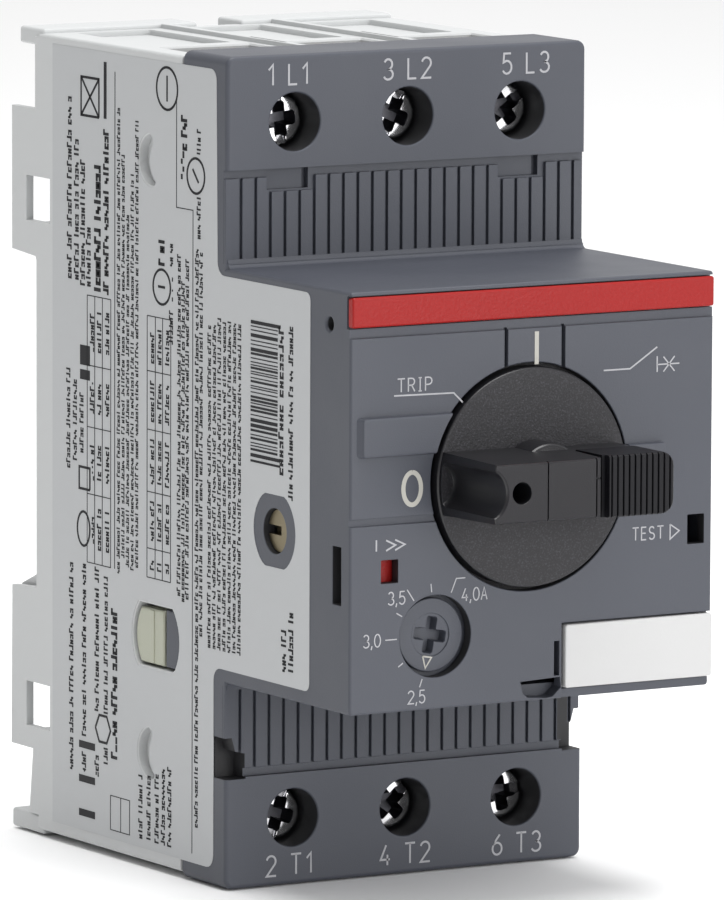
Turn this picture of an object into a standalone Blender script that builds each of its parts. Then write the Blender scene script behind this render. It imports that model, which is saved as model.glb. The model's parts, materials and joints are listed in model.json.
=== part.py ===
"""Three-pole motor protection breaker for a 35 mm mounting rail, as an assembly of separate parts.

Every design value is in millimetres: X to the right as seen from the front, Y to the back, Z up.
Y is counted from the flat terminal faces. The model's origin lies SEAT_DEPTH behind them, in the
middle of the face that rests on the mounting rail.
"""

import math

import bmesh
import bpy
from mathutils import Matrix, Vector

MM = 0.001

# Overall sizes
WIDTH = 45.0
HEIGHT = 90.0
SEAT_DEPTH = 42.4
BLOCK_DEPTH = 26.15
BLOCK_HEIGHT = 45.0
COVER_DEPTH = 9.5
WING_DEPTH = 48.0
WALL = 1.5
FRONT_WALL = 1.3
GAP = 0.3

HALF_WIDTH = WIDTH / 2
HALF_HEIGHT = HEIGHT / 2
HALF_BLOCK = BLOCK_HEIGHT / 2
BLOCK_FACE = -BLOCK_DEPTH
BLOCK_INNER = BLOCK_FACE + FRONT_WALL

# Poles and terminals
POLE_PITCH = 14.1
POLES = (-POLE_PITCH, 0.0, POLE_PITCH)
BARRIER_X = POLE_PITCH / 2
BARRIER_THICK = 0.9
SIDES = {"upper": 1, "lower": -1}
TERMINAL_Z = 37.7
SCREW_HOLE_RADIUS = 3.15
SCREW_HEAD = (3.4, 5.6)
SCREW_TIP = 13.3
BUSBAR = (13.6, 14.6)
CLAMP_DEPTH = (11.4, 21.0)
CLAMP_WALL = 1.2
CLAMP_HALF_WIDTH = 4.9
CLAMP_HALF_HEIGHT = 4.5
WIRE_ENTRY_BACK = 19.6

# Turning knob, setting dial and side shaft, as (x, z) or (y, z) of their axes
KNOB_AXIS = (-0.45, 1.55)
KNOB_RADIUS = 11.75
KNOB_HOLE_RADIUS = 12.2
KNOB_FACE = BLOCK_FACE - 0.6
LEVER_TOP = BLOCK_FACE - 11.2
LEVER_HALF_WIDTH = 3.3
HUB_HEIGHT = 4.0
LEVER_REACH = 11.5
DIAL_AXIS = (-12.0, -14.7)
DIAL_HOLE_RADIUS = 4.4
SIDE_SHAFT_AXIS = (-10.4, -4.7)
MIDDLE_OPENING = (15.3, -19.5)

# Contact system
FIXED_CONTACT_Y = 29.0
STRIP = 1.0
BRIDGE = (24.3, 25.5)
COIL_CENTRE_Y = 22.5

# Rail side
WING_THICK = 0.9
HOUSING_BACK = 42.0
UPPER_WING = (20.0, 36.0)
LOWER_WING = (-35.5, -17.2)
WINDOW_DEPTH = (39.2, 44.6)
WINDOW_HEIGHTS = ((23.5, 28.5), (-33.0, -28.0))
LATCH_LIP_TOP = -16.1

LIGHT_GREY = ((0.42, 0.43, 0.43), 0.5, 0.0)
DARK_GREY = ((0.14, 0.15, 0.165), 0.45, 0.0)
BLACK = ((0.03, 0.03, 0.035), 0.5, 0.0)
RED = ((0.45, 0.025, 0.02), 0.4, 0.0)
WHITE = ((0.78, 0.78, 0.78), 0.4, 0.0)
CREAM = ((0.55, 0.53, 0.38), 0.5, 0.0)
FIBRE = ((0.35, 0.22, 0.12), 0.7, 0.0)
STEEL = ((0.55, 0.55, 0.56), 0.3, 1.0)
COPPER = ((0.65, 0.32, 0.18), 0.35, 1.0)
BRONZE = ((0.42, 0.33, 0.2), 0.35, 1.0)
BIMETAL = ((0.5, 0.48, 0.42), 0.4, 1.0)

JOIN = "UNION"
CUT = "DIFFERENCE"

parts = None
helpers = None


# ---------------------------------------------------------------- tools


def clear_scene():
    """Empties the scene and makes one collection for the parts and one for their cutters."""
    global parts, helpers
    for old in list(bpy.data.objects):
        bpy.data.objects.remove(old)
    parts = bpy.data.collections.new("motor_protection_breaker")
    helpers = bpy.data.collections.new("cutters")
    for collection in (parts, helpers):
        bpy.context.scene.collection.children.link(collection)


def place(x, y, z):
    """The world position, in metres, of a point given in the design's millimetres."""
    return Vector((x, y - SEAT_DEPTH, z)) * MM


def shape(bm):
    """A helper object that holds this mesh, until part() takes it."""
    mesh = bpy.data.meshes.new("shape")
    bm.to_mesh(mesh)
    bm.free()
    made = bpy.data.objects.new("shape", mesh)
    helpers.objects.link(made)
    return made


def box(x, y, z, bevel=0.0, segments=2):
    """A block between three pairs of limits, its edges rounded by bevel."""
    low = place(x[0], y[0], z[0])
    high = place(x[1], y[1], z[1])
    bm = bmesh.new()
    bmesh.ops.create_cube(bm, size=1.0)
    bmesh.ops.scale(bm, vec=high - low, verts=bm.verts)
    bmesh.ops.translate(bm, vec=(low + high) / 2, verts=bm.verts)
    made = shape(bm)
    if bevel:
        edges = made.modifiers.new("edges", "BEVEL")
        edges.width = bevel * MM
        edges.segments = segments
        edges.limit_method = "ANGLE"
    return made


def rod(axis, centre, radius, span, segments=24, end_radius=None):
    """A cylinder or cone along axis X, Y or Z; centre gives the other two coordinates."""
    start, end = span
    middle = (start + end) / 2
    where = {
        "X": (middle, centre[0], centre[1]),
        "Y": (centre[0], middle, centre[1]),
        "Z": (centre[0], centre[1], middle),
    }[axis]
    turn = {
        "X": Matrix.Rotation(math.pi / 2, 4, "Y"),
        "Y": Matrix.Rotation(-math.pi / 2, 4, "X"),
        "Z": Matrix.Identity(4),
    }[axis]
    bm = bmesh.new()
    bmesh.ops.create_cone(
        bm,
        cap_ends=True,
        segments=segments,
        radius1=radius * MM,
        radius2=(radius if end_radius is None else end_radius) * MM,
        depth=(end - start) * MM,
    )
    bmesh.ops.transform(bm, matrix=Matrix.Translation(place(*where)) @ turn, verts=bm.verts)
    return shape(bm)


def meshed(curve_data, matrix):
    """The curve's closed surface as a helper mesh object."""
    curve = bpy.data.objects.new("outline", curve_data)
    bpy.context.scene.collection.objects.link(curve)
    graph = bpy.context.evaluated_depsgraph_get()
    mesh = bpy.data.meshes.new_from_object(curve.evaluated_get(graph))
    bm = bmesh.new()
    bm.from_mesh(mesh)
    bmesh.ops.remove_doubles(bm, verts=bm.verts, dist=1e-6)
    bmesh.ops.transform(bm, matrix=matrix, verts=bm.verts)
    bpy.data.objects.remove(curve)
    bpy.data.curves.remove(curve_data)
    bpy.data.meshes.remove(mesh)
    return shape(bm)


def plate(outline, axis, span):
    """A flat outline extruded along an axis. It is given as (y, z), (x, z) or (x, y)."""
    columns = {
        "X": ((0, 1, 0), (0, 0, 1), (1, 0, 0)),
        "Y": ((1, 0, 0), (0, 0, 1), (0, -1, 0)),
        "Z": ((1, 0, 0), (0, 1, 0), (0, 0, 1)),
    }[axis]
    middle = (span[0] + span[1]) / 2
    base = {
        "X": place(middle, 0, 0),
        "Y": place(0, middle, 0),
        "Z": place(0, 0, middle),
    }[axis]
    turn = Matrix(columns).transposed().to_4x4()
    data = bpy.data.curves.new("outline", "CURVE")
    data.dimensions = "2D"
    data.fill_mode = "BOTH"
    data.extrude = (span[1] - span[0]) / 2 * MM
    spline = data.splines.new("POLY")
    spline.points.add(len(outline) - 1)
    for point, (u, v) in zip(spline.points, outline):
        point.co = (u * MM, v * MM, 0, 1)
    spline.use_cyclic_u = True
    return meshed(data, Matrix.Translation(base) @ turn)


def arc(centre, radius, first, last, steps=6):
    """Points on an arc, with angles in degrees anticlockwise from the first coordinate."""
    angles = [math.radians(first + (last - first) * i / steps) for i in range(steps + 1)]
    return [
        (centre[0] + radius * math.cos(a), centre[1] + radius * math.sin(a)) for a in angles
    ]


def strip_outline(path, thickness):
    """The outline of a strip of even thickness that follows a right-angled path."""
    sides = []
    for sign in (1, -1):
        side = []
        for i, (u, v) in enumerate(path):
            before = path[max(i - 1, 0)]
            after = path[min(i + 1, len(path) - 1)]
            normal = Vector((0.0, 0.0))
            for a, b in ((before, (u, v)), ((u, v), after)):
                step = Vector((b[0] - a[0], b[1] - a[1]))
                if step.length > 0:
                    step.normalize()
                    turned = Vector((-step.y, step.x))
                    if abs(normal.dot(turned)) < 0.5:
                        normal += turned
            side.append((u + sign * normal.x * thickness / 2, v + sign * normal.y * thickness / 2))
        sides.append(side)
    return sides[0] + sides[1][::-1]


def ring(centre, profile, steps=16):
    """A ring turned about a vertical axis at (x, y). The profile is a closed loop of (r, z)."""
    bm = bmesh.new()
    points = [bm.verts.new((r * MM, 0, z * MM)) for r, z in profile]
    for a, b in zip(points, points[1:] + points[:1]):
        bm.edges.new((a, b))
    made = shape(bm)
    made.location = place(centre[0], centre[1], 0)
    screw = made.modifiers.new("turn", "SCREW")
    screw.steps = steps
    screw.render_steps = steps
    screw.use_merge_vertices = True
    screw.merge_threshold = 0.00001
    return made


def helix(start, end, radius, wire_radius, turns, points_per_turn=9):
    """A coil spring along Y between two points given as (x, y, z)."""
    data = bpy.data.curves.new("coil", "CURVE")
    data.dimensions = "3D"
    data.bevel_depth = wire_radius * MM
    data.bevel_resolution = 1
    data.use_fill_caps = True
    count = int(turns * points_per_turn) + 1
    spline = data.splines.new("POLY")
    spline.points.add(count - 1)
    first = place(*start)
    last = place(*end)
    for i, point in enumerate(spline.points):
        angle = 2 * math.pi * turns * i / (count - 1)
        across = Vector((math.cos(angle), 0, math.sin(angle))) * radius * MM
        point.co = (*(first.lerp(last, i / (count - 1)) + across), 1)
    return meshed(data, Matrix.Identity(4))


def combine(base, operation, others):
    """Joins helper shapes to the base, or cuts them out of it, with one Boolean modifier."""
    label = f"{base.name}_{operation.lower()}"
    group = bpy.data.collections.new(label)
    helpers.children.link(group)
    for other in others:
        helpers.objects.unlink(other)
        group.objects.link(other)
        other.name = f"{label}_shape"
        other.hide_render = True
        other.display_type = "WIRE"
    boolean = base.modifiers.new(operation.lower(), "BOOLEAN")
    boolean.operation = operation
    boolean.operand_type = "COLLECTION"
    boolean.collection = group


def material(name, look):
    colour, roughness, metallic = look
    made = bpy.data.materials.new(name)
    made.use_nodes = True
    shader = made.node_tree.nodes["Principled BSDF"]
    shader.inputs["Base Color"].default_value = (*colour, 1)
    shader.inputs["Roughness"].default_value = roughness
    shader.inputs["Metallic"].default_value = metallic
    return made


def part(name, base, look, *stages, origin=None):
    """Turns a base shape into a named part. Each stage is JOIN or CUT with a list of shapes."""
    helpers.objects.unlink(base)
    parts.objects.link(base)
    base.name = name
    base.data.name = name
    base.data.materials.append(material(name, look))
    for operation, others in stages:
        combine(base, operation, others)
    if origin is not None:
        point = place(*origin)
        base.data.transform(Matrix.Translation(base.location - point))
        base.location = point
    return base


def mirrored(span, side):
    """The span on the upper side, or its mirror image on the lower side."""
    return span if side > 0 else (-span[1], -span[0])


# ---------------------------------------------------------------- housing


def label_outline(grow=0.0):
    """The side label's outline as (y, z), grown outwards for the recess that holds it."""
    g = grow
    top, bottom = 43.5 + g, -43.0 - g
    back, waist, front = 38.5 + g, 1.9 - g, -17.8 - g
    return [
        (back, top),
        *arc((waist + 1.5, top - 1.2), 1.2, 90, 180, 3),
        *arc((waist - 1.4, 22.9 + g), 1.4, 0, -90, 3),
        *arc((front + 0.9, 20.6 + g), 0.9, 90, 180, 3),
        *arc((front + 0.9, -20.1 - g), 0.9, 180, 270, 3),
        *arc((waist - 0.7, -22.4 - g), 1.4, 90, 0, 3),
        *arc((waist + 2.2, bottom + 1.5), 1.5, 180, 270, 3),
        (back, bottom),
    ]


def lens(centre, radius, flats, steps=20):
    """A circle cut off level at the two flats: the outline of the side openings, as (y, z)."""
    points = arc(centre, radius, 0, 360 * (steps - 1) / steps, steps - 1)
    return [(y, min(max(z, flats[0]), flats[1])) for y, z in points]


def wing_outline():
    """The rear edge of the side walls, as (y, z): two wings with the rail gap between them."""
    inner = 38.0
    rail_play = 0.4
    return [
        (inner, 44.0),
        (42.7, 44.0),
        (42.7, UPPER_WING[1]),
        (WING_DEPTH, UPPER_WING[1]),
        (WING_DEPTH, UPPER_WING[0]),
        (SEAT_DEPTH + 0.2, UPPER_WING[0] - rail_play),
        (SEAT_DEPTH, UPPER_WING[0] - 2 * rail_play),
        (SEAT_DEPTH, LOWER_WING[1]),
        (WING_DEPTH, LOWER_WING[1] - rail_play),
        (WING_DEPTH + 0.2, LOWER_WING[0]),
        (43.2, LOWER_WING[0]),
        (44.0, -42.8),
        (inner, -42.8),
    ]


def make_rear_housing():
    """Light grey base: the shell behind the cover, with rail wings, hooks and pole barriers."""
    front = COVER_DEPTH + GAP
    top = HALF_HEIGHT - 0.6
    shell = box((-HALF_WIDTH, HALF_WIDTH), (front, HOUSING_BACK), (-top, top), 0.4, 1)
    hollow = box(
        (-HALF_WIDTH + WALL, HALF_WIDTH - WALL),
        (front - 1, HOUSING_BACK - WALL - 0.4),
        (-top + WALL, top - WALL),
    )
    joined = []
    cut = []
    for sign in (-1, 1):
        side = tuple(sorted((sign * HALF_WIDTH, sign * (HALF_WIDTH - WING_THICK))))
        joined.append(plate(wing_outline(), "X", side))
        for low, high in WINDOW_HEIGHTS:
            corner = tuple(sorted((sign * (HALF_WIDTH - 0.3), sign * (HALF_WIDTH - 6.0))))
            joined.append(box(corner, (37.7, HOUSING_BACK - 0.2), (low - 1.5, high + 1.5)))
            opening = tuple(sorted((sign * (HALF_WIDTH + 1), sign * (HALF_WIDTH - 5.2))))
            cut.append(box(opening, WINDOW_DEPTH, (low, high)))
            gone = tuple(sorted((sign * (HALF_WIDTH - WING_THICK), sign * (HALF_WIDTH - 5.2))))
            cut.append(box(gone, (WINDOW_DEPTH[0], 50), (low, high)))
    # Pole barriers, left out where the contact carrier and the trip bar cross the poles.
    for x in (-BARRIER_X, BARRIER_X):
        thick = (x - BARRIER_THICK / 2, x + BARRIER_THICK / 2)
        for side in SIDES.values():
            joined.append(box(thick, (front + 0.4, 41.0), mirrored((15.0, 44.9), side)))
            cut.append(box((x - 0.2, x + 0.2), (14.0, 22.0), mirrored((44.3, 46.0), side)))
    # Rear flanges above and below, with a gap in the middle, and the rail seat.
    for sign in (-1, 1):
        outer = sign * (HALF_WIDTH - 0.2)
        upper = tuple(sorted((sign * 2.8, outer)))
        lower = tuple(sorted((sign * 10.8, outer)))
        joined.append(box(upper, (41.0, 46.5), (43.0, 44.9), 0.3, 1))
        joined.append(box(lower, (41.0, WING_DEPTH + 0.3), (-44.9, -42.8), 0.3, 1))
    joined.append(box((-19.5, 19.5), (41.0, SEAT_DEPTH), (-13.5, 16.5)))
    # Fixed hooks that catch the rail's upper edge.
    for x in (-11.0, 11.0):
        hook = [(41.0, 21.5), (47.2, 21.5), (47.2, 18.9), (45.6, 17.3)]
        hook += [(43.8, 17.3), (43.8, 19.0), (41.0, 19.0)]
        joined.append(plate(hook, "X", (x - 4.0, x + 4.0)))
    # Guides for the rail latch.
    for sign in (-1, 1):
        guide = tuple(sorted((sign * 10.4, sign * 11.6)))
        joined.append(box(guide, (41.0, 47.0), (-38.5, -24.6)))
    # Wire entries behind the cover, shallow channels behind them, and the side openings.
    for x in POLES:
        for side in SIDES.values():
            entry = mirrored((42.0, 46.0), side)
            cut.append(box((x - 5.6, x + 5.6), (front - 1, WIRE_ENTRY_BACK), entry))
            channel = mirrored((43.8, 46.0), side)
            cut.append(box((x - 4.6, x + 4.6), (22.0, 40.0), channel))
    left = (-HALF_WIDTH - 1, -HALF_WIDTH + WALL + 1)
    cut.append(plate(lens(MIDDLE_OPENING, 5.1, (-22.8, -15.9)), "X", left))
    for z in (32.6, -32.3):
        cut.append(rod("X", (16.4, z), 2.8, (-HALF_WIDTH - 1, -HALF_WIDTH + 0.9), 20))
    recess = plate(label_outline(0.15), "X", (-HALF_WIDTH - 1, -HALF_WIDTH + 0.2))
    cut.append(recess)
    part("rear_housing", shell, LIGHT_GREY, (CUT, [hollow]), (JOIN, joined), (CUT, cut))


def make_front_cover():
    """Dark grey cover: both terminal faces and the block that carries the controls."""
    block = box((-HALF_WIDTH, HALF_WIDTH), (BLOCK_FACE, 3), (-HALF_BLOCK, HALF_BLOCK - 0.2), 0.6)
    faces = box((-HALF_WIDTH, HALF_WIDTH), (0, COVER_DEPTH), (-HALF_HEIGHT, HALF_HEIGHT), 0.6)
    inner = HALF_WIDTH - WALL
    hollow = [
        box((-inner, inner), (WALL, COVER_DEPTH + 1), (-HALF_HEIGHT + WALL, HALF_HEIGHT - WALL)),
        box((-inner, inner), (BLOCK_INNER, 4), (-HALF_BLOCK + WALL, HALF_BLOCK - WALL - 0.2)),
    ]
    joined = raised_bars()
    cut = [*front_face_cuts(), *left_side_cuts()]
    for side in SIDES.values():
        cut.append(box((-30, 30), (-1, 0.5), mirrored((23.5, 32.8), side)))
        for x in POLES:
            centre = (x, side * TERMINAL_Z)
            joined.append(rod("Y", centre, SCREW_HOLE_RADIUS + 1.2, (1.0, 8.6), 24))
            cut.append(rod("Y", centre, SCREW_HOLE_RADIUS, (-1, 10), 24))
    for x in (-14.8, 14.1):
        cut.append(box((x - 2.6, x + 2.6), (-1, 1.3), (30.5, 32.7)))
    # Accessory notches at the lower corners, closed towards the inside by a thicker corner.
    for sign in (-1, 1):
        corner = tuple(sorted((sign * (HALF_WIDTH - 0.5), sign * (HALF_WIDTH - 4.2))))
        joined.append(box(corner, (1.0, 4.2), (-34.0, -27.4)))
        notch = tuple(sorted((sign * (HALF_WIDTH + 1), sign * (HALF_WIDTH - 2.5))))
        cut.append(box(notch, (-1, 2.6), (-33.0, -28.5)))
    # A snap tongue that reaches behind the opening in the housing's left side and fills part of it.
    joined.append(box((-inner - 0.3, -inner + 1.4), (5.0, 9.0), (-24.5, -14.5)))
    joined.append(box((-inner + 0.4, -inner + 1.4), (8.5, 13.5), (-24.5, -14.5)))
    rim = arc(MIDDLE_OPENING, 4.8, 136.6, 218.7, 10)
    joined.append(plate([(13.6, -16.2), *rim, (13.6, -22.5)], "X", (-inner - 1.2, -inner + 0.7)))
    part("front_cover", block, DARK_GREY, (JOIN, [faces]), (CUT, hollow), (JOIN, joined), (CUT, cut))


def front_face_cuts():
    """What is cut into the block's front face."""
    outside = BLOCK_FACE - 1
    through = BLOCK_INNER + 0.5
    pocket = [(-1.4, -20.4), (3.5, -20.2), (3.6, -21.3), (2.6, -22.2)]
    pocket += [(1.8, -22.2), (-0.5, -22.0), (-1.1, -21.6)]
    return [
        rod("Y", KNOB_AXIS, KNOB_HOLE_RADIUS, (outside, through), 48),
        rod("Y", DIAL_AXIS, DIAL_HOLE_RADIUS, (outside, through), 32),
        box((-30, 30), (outside, BLOCK_FACE + 0.8), (18.4, 21.9)),
        box((-30, 30), (outside, BLOCK_FACE + 0.4), (17.4, 18.5)),
        box((3.7, 30), (outside, BLOCK_FACE + 1.0), (-21.6, -14.4)),
        box((3.7, 30), (outside, BLOCK_FACE + 0.6), (-23.0, -21.5)),
        box((2.7, 3.3), (outside, through), (-20.0, -16.3)),
        plate(pocket, "Y", (outside, through)),
        box((-18.7, -16.6), (outside, through), (-8.7, -6.2)),
        box((19.4, 21.5), (outside, through), (-7.0, -3.8)),
        box((18.0, HALF_WIDTH - 0.3), (BLOCK_INNER, -18), (-9.0, -2.0)),
        box((-30, -12.0), (outside, BLOCK_FACE + 0.3), (-2.5, -1.7)),
    ]


def left_side_cuts():
    """What is cut into the left side of the block, and the recess for the label."""
    outer = (-HALF_WIDTH - 1, -HALF_WIDTH + WALL + 0.5)
    return [
        plate(label_outline(0.15), "X", (-HALF_WIDTH - 1, -HALF_WIDTH + 0.2)),
        rod("X", SIDE_SHAFT_AXIS, 2.6, outer, 24),
        rod("X", (-21.7, 18.6), 0.75, outer, 12),
        box(outer, (-24.3, -22.5), (-11.0, -4.8)),
    ]


def raised_bars():
    """Two low bars that frame the knob, level with the lever at rest."""
    proud = BLOCK_FACE - 0.7
    back = BLOCK_FACE + 0.4
    left = [(-22.1, 4.8), (-9.5, 4.8), (-9.5, 9.0), (-21.2, 9.0)]
    right = [(9.5, -1.4), (16.2, -1.4), (16.2, 4.3), (9.5, 4.3)]
    return [plate(left, "Y", (proud, back)), plate(right, "Y", (proud, back))]


def make_trims():
    """The red strip, the white marker plate and the side label."""
    strip_width = (-HALF_WIDTH + 0.1, HALF_WIDTH - 0.1)
    strip = box(strip_width, (BLOCK_FACE - 0.3, BLOCK_FACE + 0.6), (18.55, 21.75), 0.2, 1)
    part("trim_strip", strip, RED)
    marker = box((4.0, HALF_WIDTH - 0.05), (BLOCK_FACE - 0.3, BLOCK_FACE + 0.8), (-21.4, -14.6), 0.2, 1)
    part("marker_plate", marker, WHITE)
    label = plate(label_outline(), "X", (-HALF_WIDTH, -HALF_WIDTH + 0.12))
    windows = [
        rod("X", (16.4, 32.6), 2.8, (-HALF_WIDTH - 1, -HALF_WIDTH + 1), 20),
        rod("X", (16.4, -32.3), 2.8, (-HALF_WIDTH - 1, -HALF_WIDTH + 1), 20),
        plate(lens(MIDDLE_OPENING, 5.3, (-23.0, -15.7)), "X", (-HALF_WIDTH - 1, -HALF_WIDTH + 1)),
        plate(lens(SIDE_SHAFT_AXIS, 4.4, (-8.6, -0.8)), "X", (-HALF_WIDTH - 1, -HALF_WIDTH + 1)),
    ]
    part("rating_label", label, LIGHT_GREY, (CUT, windows))


# ---------------------------------------------------------------- controls


def make_knob():
    """The turning knob: a disc with a hub and a lever, and the shaft behind it."""
    x, z = KNOB_AXIS
    disc = rod("Y", KNOB_AXIS, KNOB_RADIUS, (KNOB_FACE, BLOCK_INNER + 1.0), 48)
    flange = rod("Y", KNOB_AXIS, KNOB_HOLE_RADIUS + 0.9, (BLOCK_INNER + 0.3, BLOCK_INNER + 1.2), 48)
    hub = rod("Y", KNOB_AXIS, 4.3, (KNOB_FACE - HUB_HEIGHT + 0.2, KNOB_FACE + 0.5), 24)
    spread = math.degrees(math.asin(LEVER_HALF_WIDTH / LEVER_REACH))
    outline = arc(KNOB_AXIS, LEVER_REACH, 180 - spread, 180 + spread, 4)
    outline += [(x + 2.2, z - LEVER_HALF_WIDTH), (x + 2.2, z + LEVER_HALF_WIDTH)]
    lever = plate(outline, "Y", (LEVER_TOP, KNOB_FACE + 0.5))
    floor = box((x + 1.0, x + 10.4), (KNOB_FACE - HUB_HEIGHT, KNOB_FACE + 0.4), (z - 3.1, z + 3.1))
    scoop = rod("Y", (x - 12.6, z + 0.1), 4.6, (LEVER_TOP - 1, KNOB_FACE - 1.5), 24, 2.6)
    lock_hole = rod("Y", (x - 7.7, z), 1.15, (LEVER_TOP - 1, KNOB_FACE - 2.0), 16)
    shaft_socket = box((x - 1.6, x + 1.6), (BLOCK_INNER - 0.5, 0), (z - 1.6, z + 1.6))
    pin_slot = box((x - 3.0, x + 2.6), (KNOB_FACE - 6.9, KNOB_FACE - HUB_HEIGHT + 0.4), (z - 1.3, z + 1.3))
    joined = [flange, hub, lever, floor]
    cut = [scoop, lock_hole, shaft_socket, pin_slot]
    part("turning_knob", disc, BLACK, (JOIN, joined), (CUT, cut), origin=(x, KNOB_FACE, z))

    shaft = rod("Y", KNOB_AXIS, 3.0, (BLOCK_INNER + 1.5, 1.5), 20)
    square = box((x - 1.4, x + 1.4), (BLOCK_INNER - 0.2, BLOCK_INNER + 3), (z - 1.4, z + 1.4))
    cam = box((x - 1.5, x + 6.0), (-2.0, 1.0), (z - 1.5, z + 1.5))
    part("knob_shaft", shaft, STEEL, (JOIN, [square, cam]), origin=(x, 0, z))


def make_lock_slide():
    """The ribbed end of the lever. It pulls outwards to take a padlock."""
    x, z = KNOB_AXIS
    depth = (LEVER_TOP, KNOB_FACE - HUB_HEIGHT - GAP)
    grip = box((x + 2.6, x + 11.1), depth, (z - LEVER_HALF_WIDTH, z + LEVER_HALF_WIDTH), 0.5, 1)
    grooves = [
        box((x + 3.4 + 0.72 * i, x + 3.7 + 0.72 * i), (LEVER_TOP - 1, LEVER_TOP + 0.4), (z - 5, z + 5))
        for i in range(10)
    ]
    tongue = box((x - 2.6, x + 3.0), (KNOB_FACE - 6.5, KNOB_FACE - HUB_HEIGHT - GAP), (z - 1.0, z + 1.0))
    part("lock_slide", grip, BLACK, (JOIN, [tongue]), (CUT, grooves), origin=(x, LEVER_TOP, z))


def make_setting_dial():
    """The current dial: a recessed face with a cross slot, and its cam spindle."""
    x, z = DIAL_AXIS
    face = BLOCK_FACE + 1.0
    dial = rod("Y", DIAL_AXIS, DIAL_HOLE_RADIUS - 0.2, (face, BLOCK_INNER + 1.2), 32)
    flange = rod("Y", DIAL_AXIS, DIAL_HOLE_RADIUS + 0.9, (BLOCK_INNER + 0.3, BLOCK_INNER + 1.2), 32)
    spindle = rod("Y", DIAL_AXIS, 1.8, (BLOCK_INNER + 1.0, -13.0), 16)
    cam = rod("Y", (x + 0.8, z), 2.8, (-15.5, -13.5), 20)
    dish = rod("Y", DIAL_AXIS, 2.3, (face - 1, face + 0.4), 24)
    cross = [
        box((x - 1.8, x + 1.8), (face - 1, face + 1.1), (z - 0.45, z + 0.45)),
        box((x - 0.45, x + 0.45), (face - 1, face + 1.1), (z - 1.8, z + 1.8)),
    ]
    joined = [flange, spindle, cam]
    part("setting_dial", dial, DARK_GREY, (JOIN, joined), (CUT, [dish, *cross]), origin=(x, face, z))


def make_indicator_and_test():
    """The red trip flag and the black test slider behind their windows."""
    flag = box((-18.9, -16.1), (BLOCK_INNER + 0.2, BLOCK_INNER + 1.2), (-9.3, -5.6))
    stem = box((-17.9, -17.1), (BLOCK_INNER + 1.0, -17.5), (-8.0, -7.0))
    part("trip_indicator", flag, RED, (JOIN, [stem]), origin=(-17.5, BLOCK_INNER + 0.2, -7.5))
    slider = box((18.3, 20.3), (BLOCK_INNER + 0.3, -20.0), (-7.6, -3.2))
    slot = box((19.2, 19.8), (BLOCK_INNER - 0.5, BLOCK_INNER + 1.3), (-7.0, -3.8))
    part("test_slider", slider, BLACK, (CUT, [slot]), origin=(19.3, BLOCK_INNER + 0.3, -5.4))


# ---------------------------------------------------------------- mechanism


def make_mechanism():
    """The steel frame, the shaft that shows on the left side, and the trip lever."""
    sheet = box((-9.0, 9.0), (3.6, 4.6), (-12.0, 12.0))
    sides = [box((x, x + 1.0), (-19.0, 4.4), (-10.0, 12.0)) for x in (-9.0, 8.0)]
    bearing = rod("X", SIDE_SHAFT_AXIS, 2.1, (-12, 12), 20)
    sight = box((-6.0, 6.0), (3.0, 5.0), (-6.0, 6.0))
    part("mechanism_frame", sheet, STEEL, (JOIN, sides), (CUT, [bearing, sight]))

    y, z = SIDE_SHAFT_AXIS
    shaft = rod("X", SIDE_SHAFT_AXIS, 1.8, (-21.0, 17.0), 20)
    head = rod("X", SIDE_SHAFT_AXIS, 2.3, (-HALF_WIDTH + 0.6, -17.5), 24)
    arms = [box((x, x + 2.4), (y - 1.0, y + 1.0), (z - 6.5, z)) for x in (-7.2, 4.8)]
    slot = box((-HALF_WIDTH, -HALF_WIDTH + 1.6), (y - 0.4, y + 3.0), (z - 0.5, z + 0.5))
    part("switching_shaft", shaft, BRONZE, (JOIN, [head, *arms]), (CUT, [slot]), origin=(0, y, z))

    bar = rod("X", (-6.0, -14.5), 1.3, (11.0, 20.0), 16)
    arm = box((11.0, 13.0), (-6.8, -5.2), (-14.5, -5.5))
    foot = box((17.6, 19.6), (-17.5, -6.0), (-15.3, -13.7))
    part("trip_lever", bar, CREAM, (JOIN, [arm, foot]), origin=(15.5, -6.0, -14.5))


def make_contact_carrier():
    """The plastic carrier with one contact bridge and one contact spring in each pole."""
    beam = box((-20.0, 20.0), (12.5, 16.0), (-4.0, 4.0))
    push_rod = box((-2.5, 2.5), (5.4, 13.0), (-3.0, 3.0))
    forks = []
    windows = []
    for x in POLES:
        forks.append(box((x - 3.6, x + 3.6), (15.5, 27.2), (-2.5, 2.5)))
        windows.append(box((x - 2.5, x + 2.5), (17.6, 26.3), (-4.5, 4.5)))
    part("contact_carrier", beam, CREAM, (JOIN, [push_rod, *forks]), (CUT, windows), origin=(0, 14, 0))
    for number, x in enumerate(POLES, 1):
        bridge = box((x - 2.1, x + 2.1), BRIDGE, (-6.8, 6.8))
        tips = [
            box((x - 1.4, x + 1.4), (BRIDGE[1] - 0.2, BRIDGE[1] + 0.5), height)
            for height in ((4.4, 6.6), (-6.6, -4.4))
        ]
        part(f"contact_bridge_{number}", bridge, COPPER, (JOIN, tips))
        spring = helix((x, 18.2, 0), (x, BRIDGE[0] - 0.6, 0), 1.5, 0.25, 4)
        part(f"contact_spring_{number}", spring, STEEL)


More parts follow.
